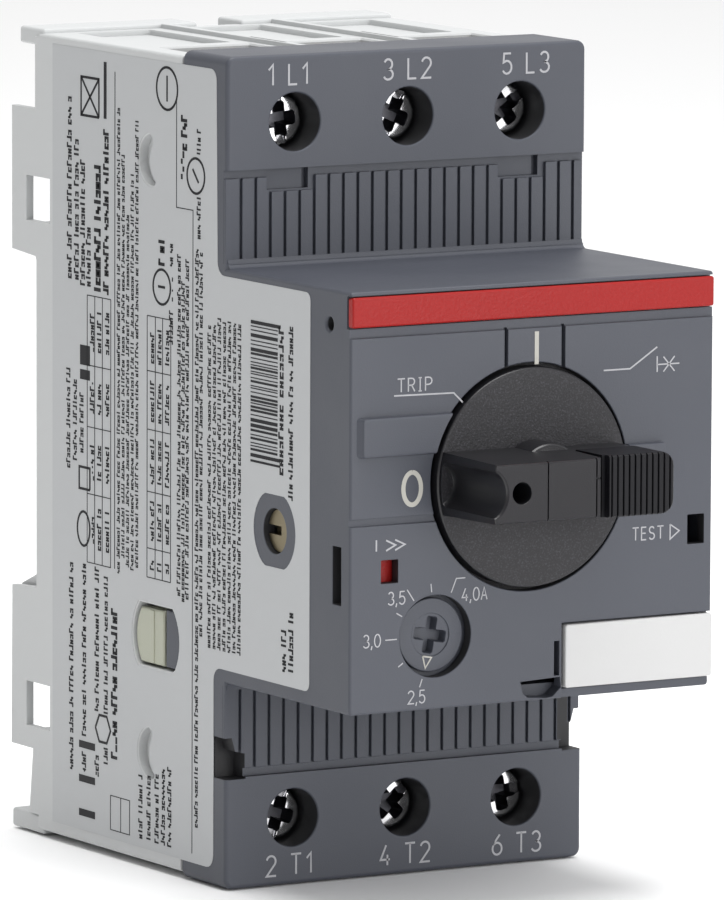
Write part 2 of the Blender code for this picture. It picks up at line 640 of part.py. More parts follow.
def make_current_path(number, x):
    """One pole's line contact, load contact, trip coil with plunger, bimetal and arc chute."""
    back = 38.0
    bar = (BUSBAR[0] + BUSBAR[1]) / 2
    width = (x - 2.0, x + 2.0)
    near = FIXED_CONTACT_Y
    line = [(bar, 42.0), (bar, 29.6), (back, 29.6), (back, 8.6), (near, 8.6), (near, 4.6)]
    load = [(bar, -42.0), (bar, -30.6), (back, -30.6), (back, -8.6), (near, -8.6), (near, -4.6)]
    part(f"line_contact_{number}", plate(strip_outline(line, STRIP), "X", width), COPPER)
    part(f"load_contact_{number}", plate(strip_outline(load, STRIP), "X", width), COPPER)

    turns = 5
    pitch = 2.3
    low = 15.4
    wave = []
    for i in range(turns):
        top = low + (turns - i) * pitch
        wave += [(4.7, top), (5.4, top - 0.35 * pitch), (5.4, top - 0.65 * pitch)]
    profile = [*wave, (4.7, low), (2.7, low), (2.7, low + turns * pitch)]
    part(f"trip_coil_{number}", ring((x, COIL_CENTRE_Y), profile), COPPER)
    plunger = rod("Z", (x, COIL_CENTRE_Y), 2.2, (13.0, 25.5), 16)
    striker = rod("Z", (x, COIL_CENTRE_Y), 0.9, (10.6, 13.5), 10)
    part(f"plunger_{number}", plunger, STEEL, (JOIN, [striker]), origin=(x, COIL_CENTRE_Y, 13.0))

    blade = box((x - 0.5, x + 0.5), (19.0, 24.5), (-29.6, -12.4))
    foot = box((x - 2.0, x + 2.0), (19.0, 24.5), (-29.7, -28.6))
    part(f"bimetal_{number}", blade, BIMETAL, (JOIN, [foot]))

    boards = [box((x + a, x + b), (31.0, 37.0), (-7.0, 7.0)) for a, b in ((-5.6, -4.6), (4.6, 5.6))]
    splitters = [
        box((x - 5.0, x + 5.0), (31.6, 37.0), (z - 0.4, z + 0.4))
        for z in (-6.0, -3.6, -1.2, 1.2, 3.6, 6.0)
    ]
    part(f"arc_chute_{number}", boards[0], FIBRE, (JOIN, [boards[1], *splitters]))


def make_trip_bar():
    """The bar that the three bimetals push sideways."""
    bar = box((-20.2, 18.4), (18.6, 22.6), (-11.6, -9.0))
    fingers = [box((x + 1.2, x + 2.4), (19.0, 22.4), (-16.0, -10.0)) for x in POLES]
    nose = box((-20.2, -17.2), (13.9, 20.4), (-24.0, -10.5))
    # A pad just inside the round opening in the housing's left side.
    pad = box((-22.1, -20.0), (14.0, 19.4), (-22.0, -17.0))
    part("trip_bar", bar, CREAM, (JOIN, [*fingers, nose, pad]), origin=(0, 20.6, -10.3))


# ---------------------------------------------------------------- terminals and rail latch


def make_terminal(name, x, side):
    """One captive screw with a cross recess, and the box clamp that it draws forward."""
    z = side * TERMINAL_Z
    head = rod("Y", (x, z), 2.85, SCREW_HEAD, 20)
    shank = rod("Y", (x, z), 1.9, (SCREW_HEAD[1] - 0.3, SCREW_TIP), 16)
    deep = (SCREW_HEAD[0] - 1, SCREW_HEAD[0] + 1.2)
    cross = [
        box((x - 1.9, x + 1.9), deep, (z - 0.4, z + 0.4)),
        box((x - 0.4, x + 0.4), deep, (z - 1.9, z + 1.9)),
    ]
    part(f"terminal_screw_{name}", head, STEEL, (JOIN, [shank]), (CUT, cross), origin=(x, SCREW_HEAD[0], z))

    high = (z - CLAMP_HALF_HEIGHT, z + CLAMP_HALF_HEIGHT)
    wide = CLAMP_HALF_WIDTH
    cage = box((x - wide, x + wide), CLAMP_DEPTH, high)
    inside = box(
        (x - wide + CLAMP_WALL, x + wide - CLAMP_WALL),
        (CLAMP_DEPTH[0] + CLAMP_WALL, CLAMP_DEPTH[1] - CLAMP_WALL),
        (high[0] - 1, high[1] + 1),
    )
    thread = rod("Y", (x, z), 2.1, (CLAMP_DEPTH[0] - 1, CLAMP_DEPTH[0] + 2), 16)
    part(f"terminal_clamp_{name}", cage, STEEL, (CUT, [inside, thread]), origin=(x, CLAMP_DEPTH[0], z))


def make_rail_latch():
    """The sliding latch: a lip across the back, and a stem between its guides."""
    lip = [(43.9, -21.0), (47.6, -21.0), (48.0, LATCH_LIP_TOP - 1.4)]
    lip += [(44.5, LATCH_LIP_TOP), (43.9, LATCH_LIP_TOP - 0.1)]
    bar = plate(lip, "X", (-HALF_WIDTH + 1.2, HALF_WIDTH - 1.2))
    stem = box((-10.0, 10.0), (43.2, 46.6), (-39.4, -19.0), 0.3, 1)
    slot = box((-3.0, 3.0), (42.0, 48.0), (-38.0, -36.4))
    part("rail_latch", bar, LIGHT_GREY, (JOIN, [stem]), (CUT, [slot]), origin=(0, 43.9, -21.0))


def main():
    clear_scene()
    make_rear_housing()
    make_front_cover()
    make_trims()
    make_knob()
    make_lock_slide()
    make_setting_dial()
    make_indicator_and_test()
    make_mechanism()
    make_contact_carrier()
    make_trip_bar()
    for number, x in enumerate(POLES, 1):
        make_current_path(number, x)
        for row, side in SIDES.items():
            make_terminal(f"{row}_{number}", x, side)
    make_rail_latch()


main()
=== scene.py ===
"""The looks of a three-pole motor protection breaker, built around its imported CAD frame.

Lengths are in millimetres in the design's own directions: X to the right, Y to the back counted
from the terminal faces, Z up from mid-height. place() turns them into the frame's metres.
"""

import json
import math
import random

import bmesh
import bpy
from mathutils import Matrix, Vector


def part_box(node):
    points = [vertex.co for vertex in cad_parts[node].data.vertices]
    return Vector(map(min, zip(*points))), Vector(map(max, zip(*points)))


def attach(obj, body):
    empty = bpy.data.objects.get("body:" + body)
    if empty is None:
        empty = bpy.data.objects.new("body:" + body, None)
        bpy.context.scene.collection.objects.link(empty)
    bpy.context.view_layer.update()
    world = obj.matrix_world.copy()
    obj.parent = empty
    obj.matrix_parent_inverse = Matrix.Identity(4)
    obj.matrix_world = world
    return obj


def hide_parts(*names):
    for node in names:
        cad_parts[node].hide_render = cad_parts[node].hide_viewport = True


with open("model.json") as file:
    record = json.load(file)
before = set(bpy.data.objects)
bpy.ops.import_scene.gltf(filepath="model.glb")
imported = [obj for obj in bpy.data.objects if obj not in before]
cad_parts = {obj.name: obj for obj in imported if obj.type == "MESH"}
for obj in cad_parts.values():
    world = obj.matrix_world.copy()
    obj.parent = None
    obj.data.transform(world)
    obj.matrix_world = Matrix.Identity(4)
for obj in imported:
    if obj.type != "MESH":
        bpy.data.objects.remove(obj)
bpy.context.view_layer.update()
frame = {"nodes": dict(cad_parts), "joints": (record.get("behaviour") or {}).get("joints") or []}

MM = 0.001

# ---- sizes taken from the frame

KNOB_FACE = -26.75
COVER_DEPTH = 9.5
COVER_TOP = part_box("front_cover")[1]
HALF_WIDTH = COVER_TOP.x / MM
HALF_HEIGHT = COVER_TOP.z / MM
JOINTS = {joint["name"]: Vector(joint["pos_m"]) / MM for joint in frame["joints"] if joint.get("pos_m")}
SEAT_DEPTH = KNOB_FACE - JOINTS["knob_turn"].y


def node_box(name):
    """A CAD node's three pairs of limits, in design millimetres."""
    shift = Vector((0, SEAT_DEPTH, 0))
    return tuple(zip(*(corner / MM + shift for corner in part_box(name))))


def joint_point(name):
    """The point that a hinge's axis goes through, in design millimetres."""
    return JOINTS[name] + Vector((0, SEAT_DEPTH, 0))


SIDES = {"upper": 1, "lower": -1}
NUMBERS = (1, 2, 3)
POLES = [joint_point(f"screw_turn_upper_{n}").x for n in NUMBERS]
TERMINAL_Z = joint_point("screw_turn_upper_1").z
SCREWS = [(x, side * TERMINAL_Z) for side in SIDES.values() for x in POLES]
SCREW_HEAD = joint_point("screw_turn_upper_1").y
KNOB = (joint_point("knob_turn").x, joint_point("knob_turn").z)
DIAL = (joint_point("dial_turn").x, joint_point("dial_turn").z)
SHAFT = (joint_point("side_shaft_turn").y, joint_point("side_shaft_turn").z)
LEVER_TOP = node_box("lock_slide")[1][0]

# ---- sizes of the surface detail

BLOCK_FACE = KNOB_FACE + 0.6
BLOCK_INNER = BLOCK_FACE + 1.3
HALF_BLOCK = 22.5
WALL = 1.5
RIB_FLOOR = 0.7
RIB_TOP = 0.25
RIB_PITCH = 1.81
RIB_GAP = 0.34
RIB_FIRST_GAP = -20.6
RIB_GAPS = 24
RIB_ENDS = (23.4, 31.9)
BAND_END = 32.8
POCKETS = ((-17.4, -12.2), (11.5, 16.7))
POCKET_Z = (30.5, 32.7)
SCREW_HOLE_RADIUS = 3.15
FLANGE_DEPTH = (BLOCK_INNER + 0.3, BLOCK_INNER + 1.2)
KNOB_RADIUS = 11.75
KNOB_HOLE_RADIUS = 12.2
LEVER_HALF_WIDTH = 3.3
LEVER_REACH = 11.5
HUB_HEIGHT = 4.0
DIAL_HOLE_RADIUS = 4.4
DIAL_RADIUS = 3.95
WING_DEPTH = 48.0
HOUSING_BACK = 42.0
WING_THICK = 0.9
WINDOW_DEPTH = (39.2, 44.6)
WINDOW_HEIGHTS = ((23.5, 28.5), (-33.0, -28.0))
BARRIER_X = 7.05
BARRIER_THICK = 0.9
WIRE_ENTRY_BACK = 19.6
MIDDLE_OPENING = (15.3, -19.5)
CRESCENTS = ((16.4, 32.6), (16.4, -32.3))
LABEL_PROUD = 0.05
INK = 0.03

# ---- outlines


def place(x, y, z):
    """The frame's point, in metres, for a point in design millimetres."""
    return Vector((x, y - SEAT_DEPTH, z)) * MM


def point_on(axis, position, uv):
    """The point at a position along an axis and at the two other coordinates."""
    u, v = uv
    return {"X": (position, u, v), "Y": (u, position, v), "Z": (u, v, position)}[axis]


def arc(centre, radius, first, last, steps=6):
    """Points on an arc; angles in degrees, radius one number or a pair for an ellipse."""
    across, up = radius if isinstance(radius, tuple) else (radius, radius)
    turns = [math.radians(first + (last - first) * i / steps) for i in range(steps + 1)]
    return [(centre[0] + across * math.cos(t), centre[1] + up * math.sin(t)) for t in turns]


def circle(centre, radius, steps=48):
    return arc(centre, radius, 0, 360 * (steps - 1) / steps, steps - 1)


def rect(u, v, radius=0.0, steps=3):
    """A rectangle between two pairs of limits, with round corners."""
    (left, right), (low, high) = u, v
    if not radius:
        return [(left, low), (right, low), (right, high), (left, high)]
    corners = [(right, high, 0), (left, high, 90), (left, low, 180), (right, low, 270)]
    outline = []
    for cu, cv, first in corners:
        centre = (cu - math.copysign(radius, cu - (left + right) / 2),
                  cv - math.copysign(radius, cv - (low + high) / 2))
        outline += arc(centre, radius, first, first + 90, steps)
    return outline


def lens(centre, radius, flats):
    """A circle cut off level at two heights."""
    low, high = flats
    return [(u, min(max(v, low), high)) for u, v in circle(centre, radius, 40)]


def grown(outline, distance):
    """The closed outline with every side moved outwards by distance."""
    if not distance:
        return outline
    following = outline[1:] + outline[:1]
    area = sum(a[0] * b[1] - b[0] * a[1] for a, b in zip(outline, following))
    sign = 1 if area > 0 else -1
    moved = []
    for before, here, after in zip(outline[-1:] + outline[:-1], outline, following):
        normals = []
        for a, b in ((before, here), (here, after)):
            step = Vector((b[0] - a[0], b[1] - a[1])).normalized()
            normals.append(Vector((step.y, -step.x)) * sign)
        share = distance / (1 + normals[0].dot(normals[1]))
        moved.append(tuple(Vector(here) + (normals[0] + normals[1]) * share))
    return moved


def mirrored(span, side):
    """The span on the upper or right side, or its mirror image on the other side."""
    return span if side > 0 else (-span[1], -span[0])


# ---- solids


def shape(bm, name="shape"):
    mesh = bpy.data.meshes.new(name)
    bm.to_mesh(mesh)
    bm.free()
    made = bpy.data.objects.new(name, mesh)
    bpy.context.scene.collection.objects.link(made)
    return made


def stack(outline, axis, levels):
    """A closed solid along an axis. Each level is a position and how much the outline grows there."""
    bm = bmesh.new()
    rings = []
    for position, grow in levels:
        points = [point_on(axis, position, uv) for uv in grown(outline, grow)]
        rings.append([bm.verts.new(place(*point)) for point in points])
    for low, high in zip(rings, rings[1:]):
        for a, b, c, d in zip(low, low[1:] + low[:1], high[1:] + high[:1], high):
            bm.faces.new((a, b, c, d))
    bm.faces.new(rings[0])
    bm.faces.new(rings[-1])
    bmesh.ops.recalc_face_normals(bm, faces=bm.faces)
    return shape(bm)


def rounded_edge(position, inward, radius, steps=3):
    """Levels that round an outer edge, from the face at position inwards."""
    if not radius:
        return [(position, 0)]
    turns = [math.pi / 2 * i / steps for i in range(steps + 1)]
    return [(position + inward * radius * (1 - math.cos(t)), radius * (math.sin(t) - 1)) for t in turns]


def slab(outline, axis, span, low_round=0.0, high_round=0.0, steps=3):
    """An extruded outline with round edges at its low and high ends."""
    low = rounded_edge(span[0], 1, low_round, steps)
    high = rounded_edge(span[1], -1, high_round, steps)
    return stack(outline, axis, low + high[::-1])


def pocket(outline, axis, surface, floor, mouth=0.15, clear=1.0, draft=0.0):
    """A cutter for a pocket or hole whose mouth has a round edge."""
    way = math.copysign(1, floor - surface)
    levels = [(surface - way * clear, 1.15 * mouth)]
    if mouth:
        levels.append((surface - way * 0.05 * mouth, 1.15 * mouth))
        for t in (math.pi / 6, math.pi / 3, math.pi / 2):
            depth = surface + way * mouth * (1 - math.cos(t))
            levels.append((depth, mouth * (1 - math.sin(t))))
    levels.append((floor, -draft))
    return stack(outline, axis, levels)


def block(x, y, z, radius=0.0, steps=2):
    """A block between three pairs of limits, its edges rounded."""
    low = place(x[0], y[0], z[0])
    high = place(x[1], y[1], z[1])
    bm = bmesh.new()
    bmesh.ops.create_cube(bm, size=1.0)
    bmesh.ops.scale(bm, vec=high - low, verts=bm.verts)
    bmesh.ops.translate(bm, vec=(low + high) / 2, verts=bm.verts)
    if radius:
        bmesh.ops.bevel(
            bm, geom=bm.edges[:], offset=radius * MM, segments=steps, profile=0.5, affect="EDGES"
        )
    return shape(bm)


def combined(base, operation, others):
    """The base with the other shapes joined on (UNION) or cut out (DIFFERENCE)."""
    group = bpy.data.collections.new("operands")
    for other in others:
        group.objects.link(other)
    boolean = base.modifiers.new("boolean", "BOOLEAN")
    boolean.operation = operation
    boolean.operand_type = "COLLECTION"
    boolean.collection = group
    bpy.context.view_layer.update()
    graph = bpy.context.evaluated_depsgraph_get()
    result = bpy.data.meshes.new_from_object(base.evaluated_get(graph))
    base.modifiers.clear()
    old = base.data
    base.data = result
    bpy.data.meshes.remove(old)
    for other in others:
        bpy.data.meshes.remove(other.data)
    bpy.data.collections.remove(group)


def unite(base, *others):
    """Joins the other shapes onto the base."""
    combined(base, "UNION", others)


def carve(base, *others):
    """Cuts the other shapes out of the base."""
    combined(base, "DIFFERENCE", others)


def joined(objects):
    """One object that holds all these meshes as separate shells."""
    bm = bmesh.new()
    for made in objects:
        bm.from_mesh(made.data)
        bpy.data.meshes.remove(made.data)
    return shape(bm)


def turned_about(made, axis, centre, degrees):
    """Turns a shape about an axis through the given design point."""
    pivot = Matrix.Translation(place(*centre))
    turn = Matrix.Rotation(math.radians(degrees), 4, axis)
    made.data.transform(pivot @ turn @ pivot.inverted())
    return made


def piece(name, made, look, body, nodes=(), sharp=32):
    """Names a finished piece, gives it its material and lets it ride on its body."""
    made.name = name
    made.data.name = name
    made.data.materials.clear()
    made.data.materials.append(look)
    made.data.shade_smooth()
    made.data.set_sharp_from_angle(angle=math.radians(sharp))
    weighted = made.modifiers.new("even_shading", "WEIGHTED_NORMAL")
    weighted.keep_sharp = True
    weighted.weight = 60
    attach(made, body)
    if nodes:
        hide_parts(*nodes)
    return made


# ---- marks


GLYPHS = {
    "0": (0.56, [arc((0.28, 0.5), (0.28, 0.5), 90, 450, 20)]),
    "1": (0.27, [[(0.0, 0.74), (0.25, 1.0), (0.25, 0.0)]]),
    "2": (0.54, [arc((0.27, 0.73), (0.27, 0.27), 165, -30, 9) + [(0.0, 0.0), (0.56, 0.0)]]),
    "3": (0.54, [
        arc((0.26, 0.75), (0.24, 0.25), 155, -90, 9) + arc((0.26, 0.25), (0.28, 0.25), 90, -155, 9)
    ]),
    "4": (0.56, [[(0.56, 0.28), (0.0, 0.28), (0.33, 1.0)], [(0.41, 0.52), (0.41, 0.0)]]),
    "5": (0.54, [
        [(0.5, 1.0), (0.09, 1.0), (0.05, 0.56)] + arc((0.26, 0.32), (0.28, 0.32), 125, -150, 10)
    ]),
    "6": (0.54, [
        [(0.44, 1.0), (0.2, 0.72)] + arc((0.28, 0.3), (0.28, 0.3), 145, -215, 20)
    ]),
    "L": (0.46, [[(0.0, 1.0), (0.0, 0.0), (0.48, 0.0)]]),
    "T": (0.58, [[(0.0, 1.0), (0.6, 1.0)], [(0.3, 1.0), (0.3, 0.0)]]),
    "R": (0.54, [
        [(0.0, 0.0), (0.0, 1.0)] + arc((0.28, 0.74), (0.24, 0.26), 90, -90, 6) + [(0.0, 0.48)],
        [(0.28, 0.48), (0.54, 0.0)],
    ]),
    "P": (0.52, [
        [(0.0, 0.0), (0.0, 1.0)] + arc((0.28, 0.73), (0.26, 0.27), 90, -90, 6) + [(0.0, 0.46)]
    ]),
    "I": (0.26, [[(0.13, 0.0), (0.13, 1.0)], [(0.0, 0.0), (0.26, 0.0)], [(0.0, 1.0), (0.26, 1.0)]]),
    "E": (0.46, [[(0.46, 1.0), (0.0, 1.0), (0.0, 0.0), (0.46, 0.0)], [(0.0, 0.52), (0.4, 0.52)]]),
    "S": (0.5, [
        arc((0.25, 0.75), (0.24, 0.25), 25, 270, 8) + arc((0.25, 0.25), (0.26, 0.25), 90, -155, 8)
    ]),
    "A": (0.56, [[(0.0, 0.0), (0.28, 1.0), (0.56, 0.0)], [(0.1, 0.34), (0.46, 0.34)]]),
    ",": (0.12, [[(0.08, 0.1), (0.0, -0.2)]]),
    " ": (0.2, []),
}


def lettering(text, centre, height, stretch=1.0, spacing=0.24):
    """Strokes that write the text, centred left to right, with its foot at centre's height."""
    length = sum(GLYPHS[c][0] + spacing for c in text) - spacing
    at = centre[0] - length * height * stretch / 2
    strokes = []
    for c in text:
        advance, lines = GLYPHS[c]
        for line in lines:
            strokes.append([(at + u * height * stretch, centre[1] + v * height) for u, v in line])
        at += (advance + spacing) * height * stretch
    return strokes


def ribbons(strokes, width, axis, span):
    """Flat strips of even width that follow the strokes, all in one object."""
    bm = bmesh.new()
    for stroke in strokes:
        rails = []
        for i, here in enumerate(stroke):
            steps = []
            for a, b in ((stroke[max(i - 1, 0)], here), (here, stroke[min(i + 1, len(stroke) - 1)])):
                step = Vector((b[0] - a[0], b[1] - a[1]))
                if step.length > 0:
                    steps.append(step.normalized())
            normals = [Vector((-s.y, s.x)) for s in steps]
            first, last = normals[0], normals[-1]
            mitre = (first + last) / max(1 + first.dot(last), 0.4)
            sides = [Vector(here) + mitre * width / 2, Vector(here) - mitre * width / 2]
            rails.append([
                bm.verts.new(place(*point_on(axis, position, side)))
                for position in span for side in sides
            ])
        for a, b in zip(rails, rails[1:]):
            for i, j in ((0, 1), (1, 3), (3, 2), (2, 0)):
                bm.faces.new((a[i], a[j], b[j], b[i]))
        for end in (rails[0], rails[-1]):
            bm.faces.new((end[0], end[1], end[3], end[2]))
    bmesh.ops.recalc_face_normals(bm, faces=bm.faces)
    return shape(bm)


def bars(rectangles, axis, span):
    """Flat bars, each given by its two pairs of limits, all in one object."""
    bm = bmesh.new()
    for (left, right), (low, high) in rectangles:
        corners = [(left, low), (right, low), (right, high), (left, high)]
        near, far = (
            [bm.verts.new(place(*point_on(axis, position, uv))) for uv in corners]
            for position in span
        )
        bm.faces.new(near)
        bm.faces.new(far)
        for i in range(4):
            j = (i + 1) % 4
            bm.faces.new((near[i], near[j], far[j], far[i]))
    bmesh.ops.recalc_face_normals(bm, faces=bm.faces)
    return shape(bm)


# ---- materials


def shader_node(tree, kind, **values):
    """A new shader node with its inputs set, where an underscore stands for a space."""
    made = tree.nodes.new("ShaderNode" + kind)
    for name, value in values.items():
        made.inputs[name.replace("_", " ")].default_value = value
    return made


def spread(tree, value, reach, span):
    """The value, with its reach stretched over the span."""
    limits = {"From_Min": reach[0], "From_Max": reach[1], "To_Min": span[0], "To_Max": span[1]}
    ranged = shader_node(tree, "MapRange", **limits)
    tree.links.new(value, ranged.inputs["Value"])
    return ranged.outputs["Result"]


def moulded(name, colour, roughness, grain, bump, mottle=0.04, metallic=0.0, speckle=0.0, specular=0.5):
    """A moulded or rolled surface: fine grain in the height, and faint mottling in the colour."""
    made = bpy.data.materials.new(name)
    made.use_nodes = True
    tree = made.node_tree
    link = tree.links.new
    shader = tree.nodes["Principled BSDF"]
    shader.inputs["Metallic"].default_value = metallic
    shader.inputs["Specular IOR Level"].default_value = specular
    where = shader_node(tree, "TexCoord").outputs["Object"]

    def noise(size, detail=3.0):
        texture = shader_node(tree, "TexNoise", Scale=1 / (size * MM), Detail=detail)
        link(where, texture.inputs["Vector"])
        return texture.outputs["Fac"]

    def tinted(share):
        return (*[min(c * (1 + share), 1) for c in colour], 1)

    def mixed(factor, share):
        mix = shader_node(tree, "Mix")
        mix.data_type = "RGBA"
        mix.inputs["B"].default_value = tinted(share)
        link(factor, mix.inputs["Factor"])
        return mix

    broad = noise(grain * 60 + 4, 4.0)
    tone = mixed(broad, mottle)
    tone.inputs["A"].default_value = tinted(-mottle)
    shade = tone.outputs["Result"]
    if speckle:
        dots = mixed(spread(tree, noise(grain * 0.9, 2.0), (0.5, 0.72), (0, 1)), speckle)
        link(shade, dots.inputs["A"])
        shade = dots.outputs["Result"]
    link(shade, shader.inputs["Base Color"])
    rough = spread(tree, broad, (0.3, 0.7), (roughness * 0.9, roughness * 1.1))
    link(rough, shader.inputs["Roughness"])
    relief = shader_node(tree, "Bump", Strength=bump, Distance=grain * 0.25 * MM)
    link(noise(grain), relief.inputs["Height"])
    link(relief.outputs["Normal"], shader.inputs["Normal"])
    return made


DARK_GREY = moulded("dark_grey_plastic", (0.05, 0.0545, 0.07), 0.5, 0.16, 0.35)
# Near-black plastic for the insides of the cover's holes: painted shade, where little light gets in.
PAINTED_SHADE_PLASTIC = moulded("painted_shade_plastic", (0.012, 0.012, 0.014), 0.6, 0.16, 0.2)
LIGHT_GREY = moulded("light_grey_plastic", (0.48, 0.49, 0.492), 0.5, 0.25, 0.25, 0.02)
LABEL = moulded("label_film", (0.4, 0.41, 0.418), 0.38, 0.3, 0.08, 0.02)
PRINT = moulded("label_ink", (0.008, 0.008, 0.01), 0.5, 0.2, 0.1, specular=0.15)
MARK = moulded("mark_ink", (0.36, 0.36, 0.38), 0.55, 0.12, 0.3)
MARK_WARM = moulded("mark_ink_warm", (0.4, 0.39, 0.355), 0.55, 0.12, 0.3)
BLACK = moulded("black_textured_plastic", (0.012, 0.0115, 0.014), 0.5, 0.22, 1.0, 0.15, 0.0, 2.0, 0.38)
SMOOTH_BLACK = moulded("black_lever_plastic", (0.012, 0.0115, 0.014), 0.42, 0.18, 0.5, 0.1, specular=0.28)
GRIP_BLACK = moulded("black_grip_plastic", (0.006, 0.006, 0.008), 0.5, 0.18, 0.4, 0.1, specular=0.2)
GLOSS_BLACK = moulded("black_smooth_plastic", (0.01, 0.01, 0.012), 0.32, 0.4, 0.1)
RED = moulded("red_plastic", (0.28, 0.007, 0.006), 0.35, 0.35, 0.6, 0.06, specular=0.25)
WHITE = moulded("white_plastic", (0.5, 0.5, 0.5), 0.45, 0.3, 0.1, 0.01)
CREAM = moulded("cream_plastic", (0.36, 0.37, 0.29), 0.35, 0.4, 0.08, 0.05)
CHROME = moulded("bright_zinc", (0.78, 0.78, 0.8), 0.1, 0.5, 0.04, 0.04, 1.0)
# Dark zinc for the bottom of the screws' recesses: painted shade.
PAINTED_SHADE_ZINC = moulded("painted_shade_zinc", (0.09, 0.09, 0.1), 0.3, 0.4, 0.1, 0.04, 1.0)
ZINC = moulded("zinc_steel", (0.6, 0.6, 0.61), 0.28, 0.4, 0.2, 0.08, 1.0)
COPPER = moulded("copper", (0.7, 0.36, 0.22), 0.32, 0.4, 0.15, 0.1, 1.0)
BRONZE = moulded("dark_bronze", (0.2, 0.17, 0.11), 0.4, 0.35, 0.2, 0.12, 1.0)
BIMETAL = moulded("bimetal", (0.5, 0.47, 0.4), 0.35, 0.5, 0.2, 0.1, 1.0)
FIBRE = moulded("arc_fibre", (0.35, 0.22, 0.12), 0.75, 0.35, 0.6, 0.15)


# ---- cover


def rib_bosses(side):
    """The ribs of one terminal face."""
    gaps = [RIB_FIRST_GAP + RIB_PITCH * i for i in range(RIB_GAPS)]
    edges = [-HALF_WIDTH + 0.02] + gaps + [HALF_WIDTH - 0.3]
    made = []
    for i, (a, b) in enumerate(zip(edges, edges[1:])):
        left = a + (RIB_GAP / 2 if i else 0)
        right = b - (RIB_GAP / 2 if i < RIB_GAPS else 0)
        ends = (RIB_ENDS[0] - 1.2, RIB_ENDS[1])
        for pocket_x in (POCKETS if side > 0 else ()):
            if pocket_x[0] - 0.4 < (left + right) / 2 < pocket_x[1] + 0.1:
                ends = (RIB_ENDS[0] - 1.2, POCKET_Z[0] - 0.2)
        outline = rect((left, right), mirrored(ends, side), 0.12, 2)
        made.append(slab(outline, "Y", (RIB_TOP, RIB_FLOOR + 0.3), 0.1, 0, 2))
    return made


def fillet_prism(side):
    """The concave round between the front block's top and the ribs."""
    radius = 1.0
    z = HALF_BLOCK - 0.25
    y = RIB_TOP - 0.05
    points = [(y + 1.0, z - 0.8), (y - radius, z - 0.8)]
    points += arc((y - radius, z + radius), radius, -90, 0, 6)
    points += [(y + 1.0, z + radius)]
    ends = [(sign * (HALF_WIDTH - 0.25), 0) for sign in (-1, 1)]
    return stack([(u, side * v) for u, v in points], "X", ends)


def make_cover():
    """The dark grey cover with its terminal faces, ribs, control block and openings, the openings' insides
    painted dark as shade.
    """
    front = slab(
        rect((-HALF_WIDTH, HALF_WIDTH), (-HALF_HEIGHT, HALF_HEIGHT), 1.0, 5),
        "Y", (0, COVER_DEPTH), 0.5, 0.2,
    )
    body = slab(
        rect((-HALF_WIDTH, HALF_WIDTH), (-HALF_BLOCK, HALF_BLOCK - 0.2), 0.35, 3),
        "Y", (BLOCK_FACE, 3), 0.3,
    )
    unite(front, body)
    inner = HALF_WIDTH - WALL
    hollow = [
        block((-inner, inner), (WALL + 0.4, COVER_DEPTH + 1), (-HALF_HEIGHT + WALL, HALF_HEIGHT - WALL)),
        block((-inner, inner), (BLOCK_INNER, 4), (-HALF_BLOCK + WALL, HALF_BLOCK - WALL - 0.2)),
    ]
    for side in SIDES.values():
        zone = rect((-30, 30), mirrored((RIB_ENDS[0] - 0.6, BAND_END), side))
        hollow.append(stack(zone, "Y", [(-1, 0), (RIB_FLOOR, 0)]))
    carve(front, *hollow)
    added = [fillet_prism(1), fillet_prism(-1)]
    for side in SIDES.values():
        added += rib_bosses(side)
        for x in POLES:
            added.append(slab(circle((x, side * TERMINAL_Z), SCREW_HOLE_RADIUS + 1.2), "Y", (1.0, 8.6)))
    for sign in (-1, 1):
        corner = mirrored((HALF_WIDTH - 4.2, HALF_WIDTH - 0.5), sign)
        added.append(block(corner, (1.0, 4.2), (-34.0, -27.4)))
    added.append(block((-inner - 0.3, -inner + 1.4), (5.0, 9.0), (-24.5, -14.5)))
    added.append(block((-inner + 0.4, -inner + 1.4), (8.5, 13.5), (-24.5, -14.5)))
    tongue = [(13.6, -16.2), *arc(MIDDLE_OPENING, 4.8, 136.6, 218.7, 10), (13.6, -22.5)]
    added.append(slab(tongue, "X", (-inner - 1.2, -inner + 0.7), 0.2))
    added += front_bosses()
    unite(front, *added)
    carve(front, *terminal_cuts(), *front_cuts(), *side_cuts())
    made = piece("cover", front, DARK_GREY, "housing", ["front_cover"])
    # The insides of the holes and openings take the near-black plastic: painted shade.
    paint_shade_on(made, painted_shade_boxes(), PAINTED_SHADE_PLASTIC)
    return made


def painted_shade_boxes():
    """The insides of the cover's holes, as three pairs of limits each, where shade is painted."""
    reach = SCREW_HOLE_RADIUS + 0.1
    boxes = [((x - reach, x + reach), (0.35, 9), (z - reach, z + reach)) for x, z in SCREWS]
    depth = (BLOCK_FACE + 0.2, BLOCK_INNER + 1)
    for (x, z), radius in ((KNOB, KNOB_HOLE_RADIUS + 0.1), (DIAL, DIAL_HOLE_RADIUS + 0.1)):
        boxes.append(((x - radius, x + radius), depth, (z - radius, z + radius)))
    for sign in (-1, 1):
        notch = mirrored((HALF_WIDTH - 2.6, HALF_WIDTH + 0.1), sign)
        boxes.append((notch, (0.2, 2.7), (-33.05, -28.45)))
    wall = (-HALF_WIDTH + 0.2, -HALF_WIDTH + 3)
    y, z = SHAFT
    return boxes + [
        ((-18.9, -16.4), depth, (-8.9, -6.0)),
        ((19.2, 21.7), depth, (-7.2, -3.6)),
        (wall, (-24.5, -22.3), (-11.2, -4.6)),
        ((-HALF_WIDTH + 0.3, -HALF_WIDTH + 3), (-22.7, -20.7), (17.6, 19.6)),
        (wall, (y - 2.7, y + 2.7), (z - 2.7, z + 2.7)),
    ]


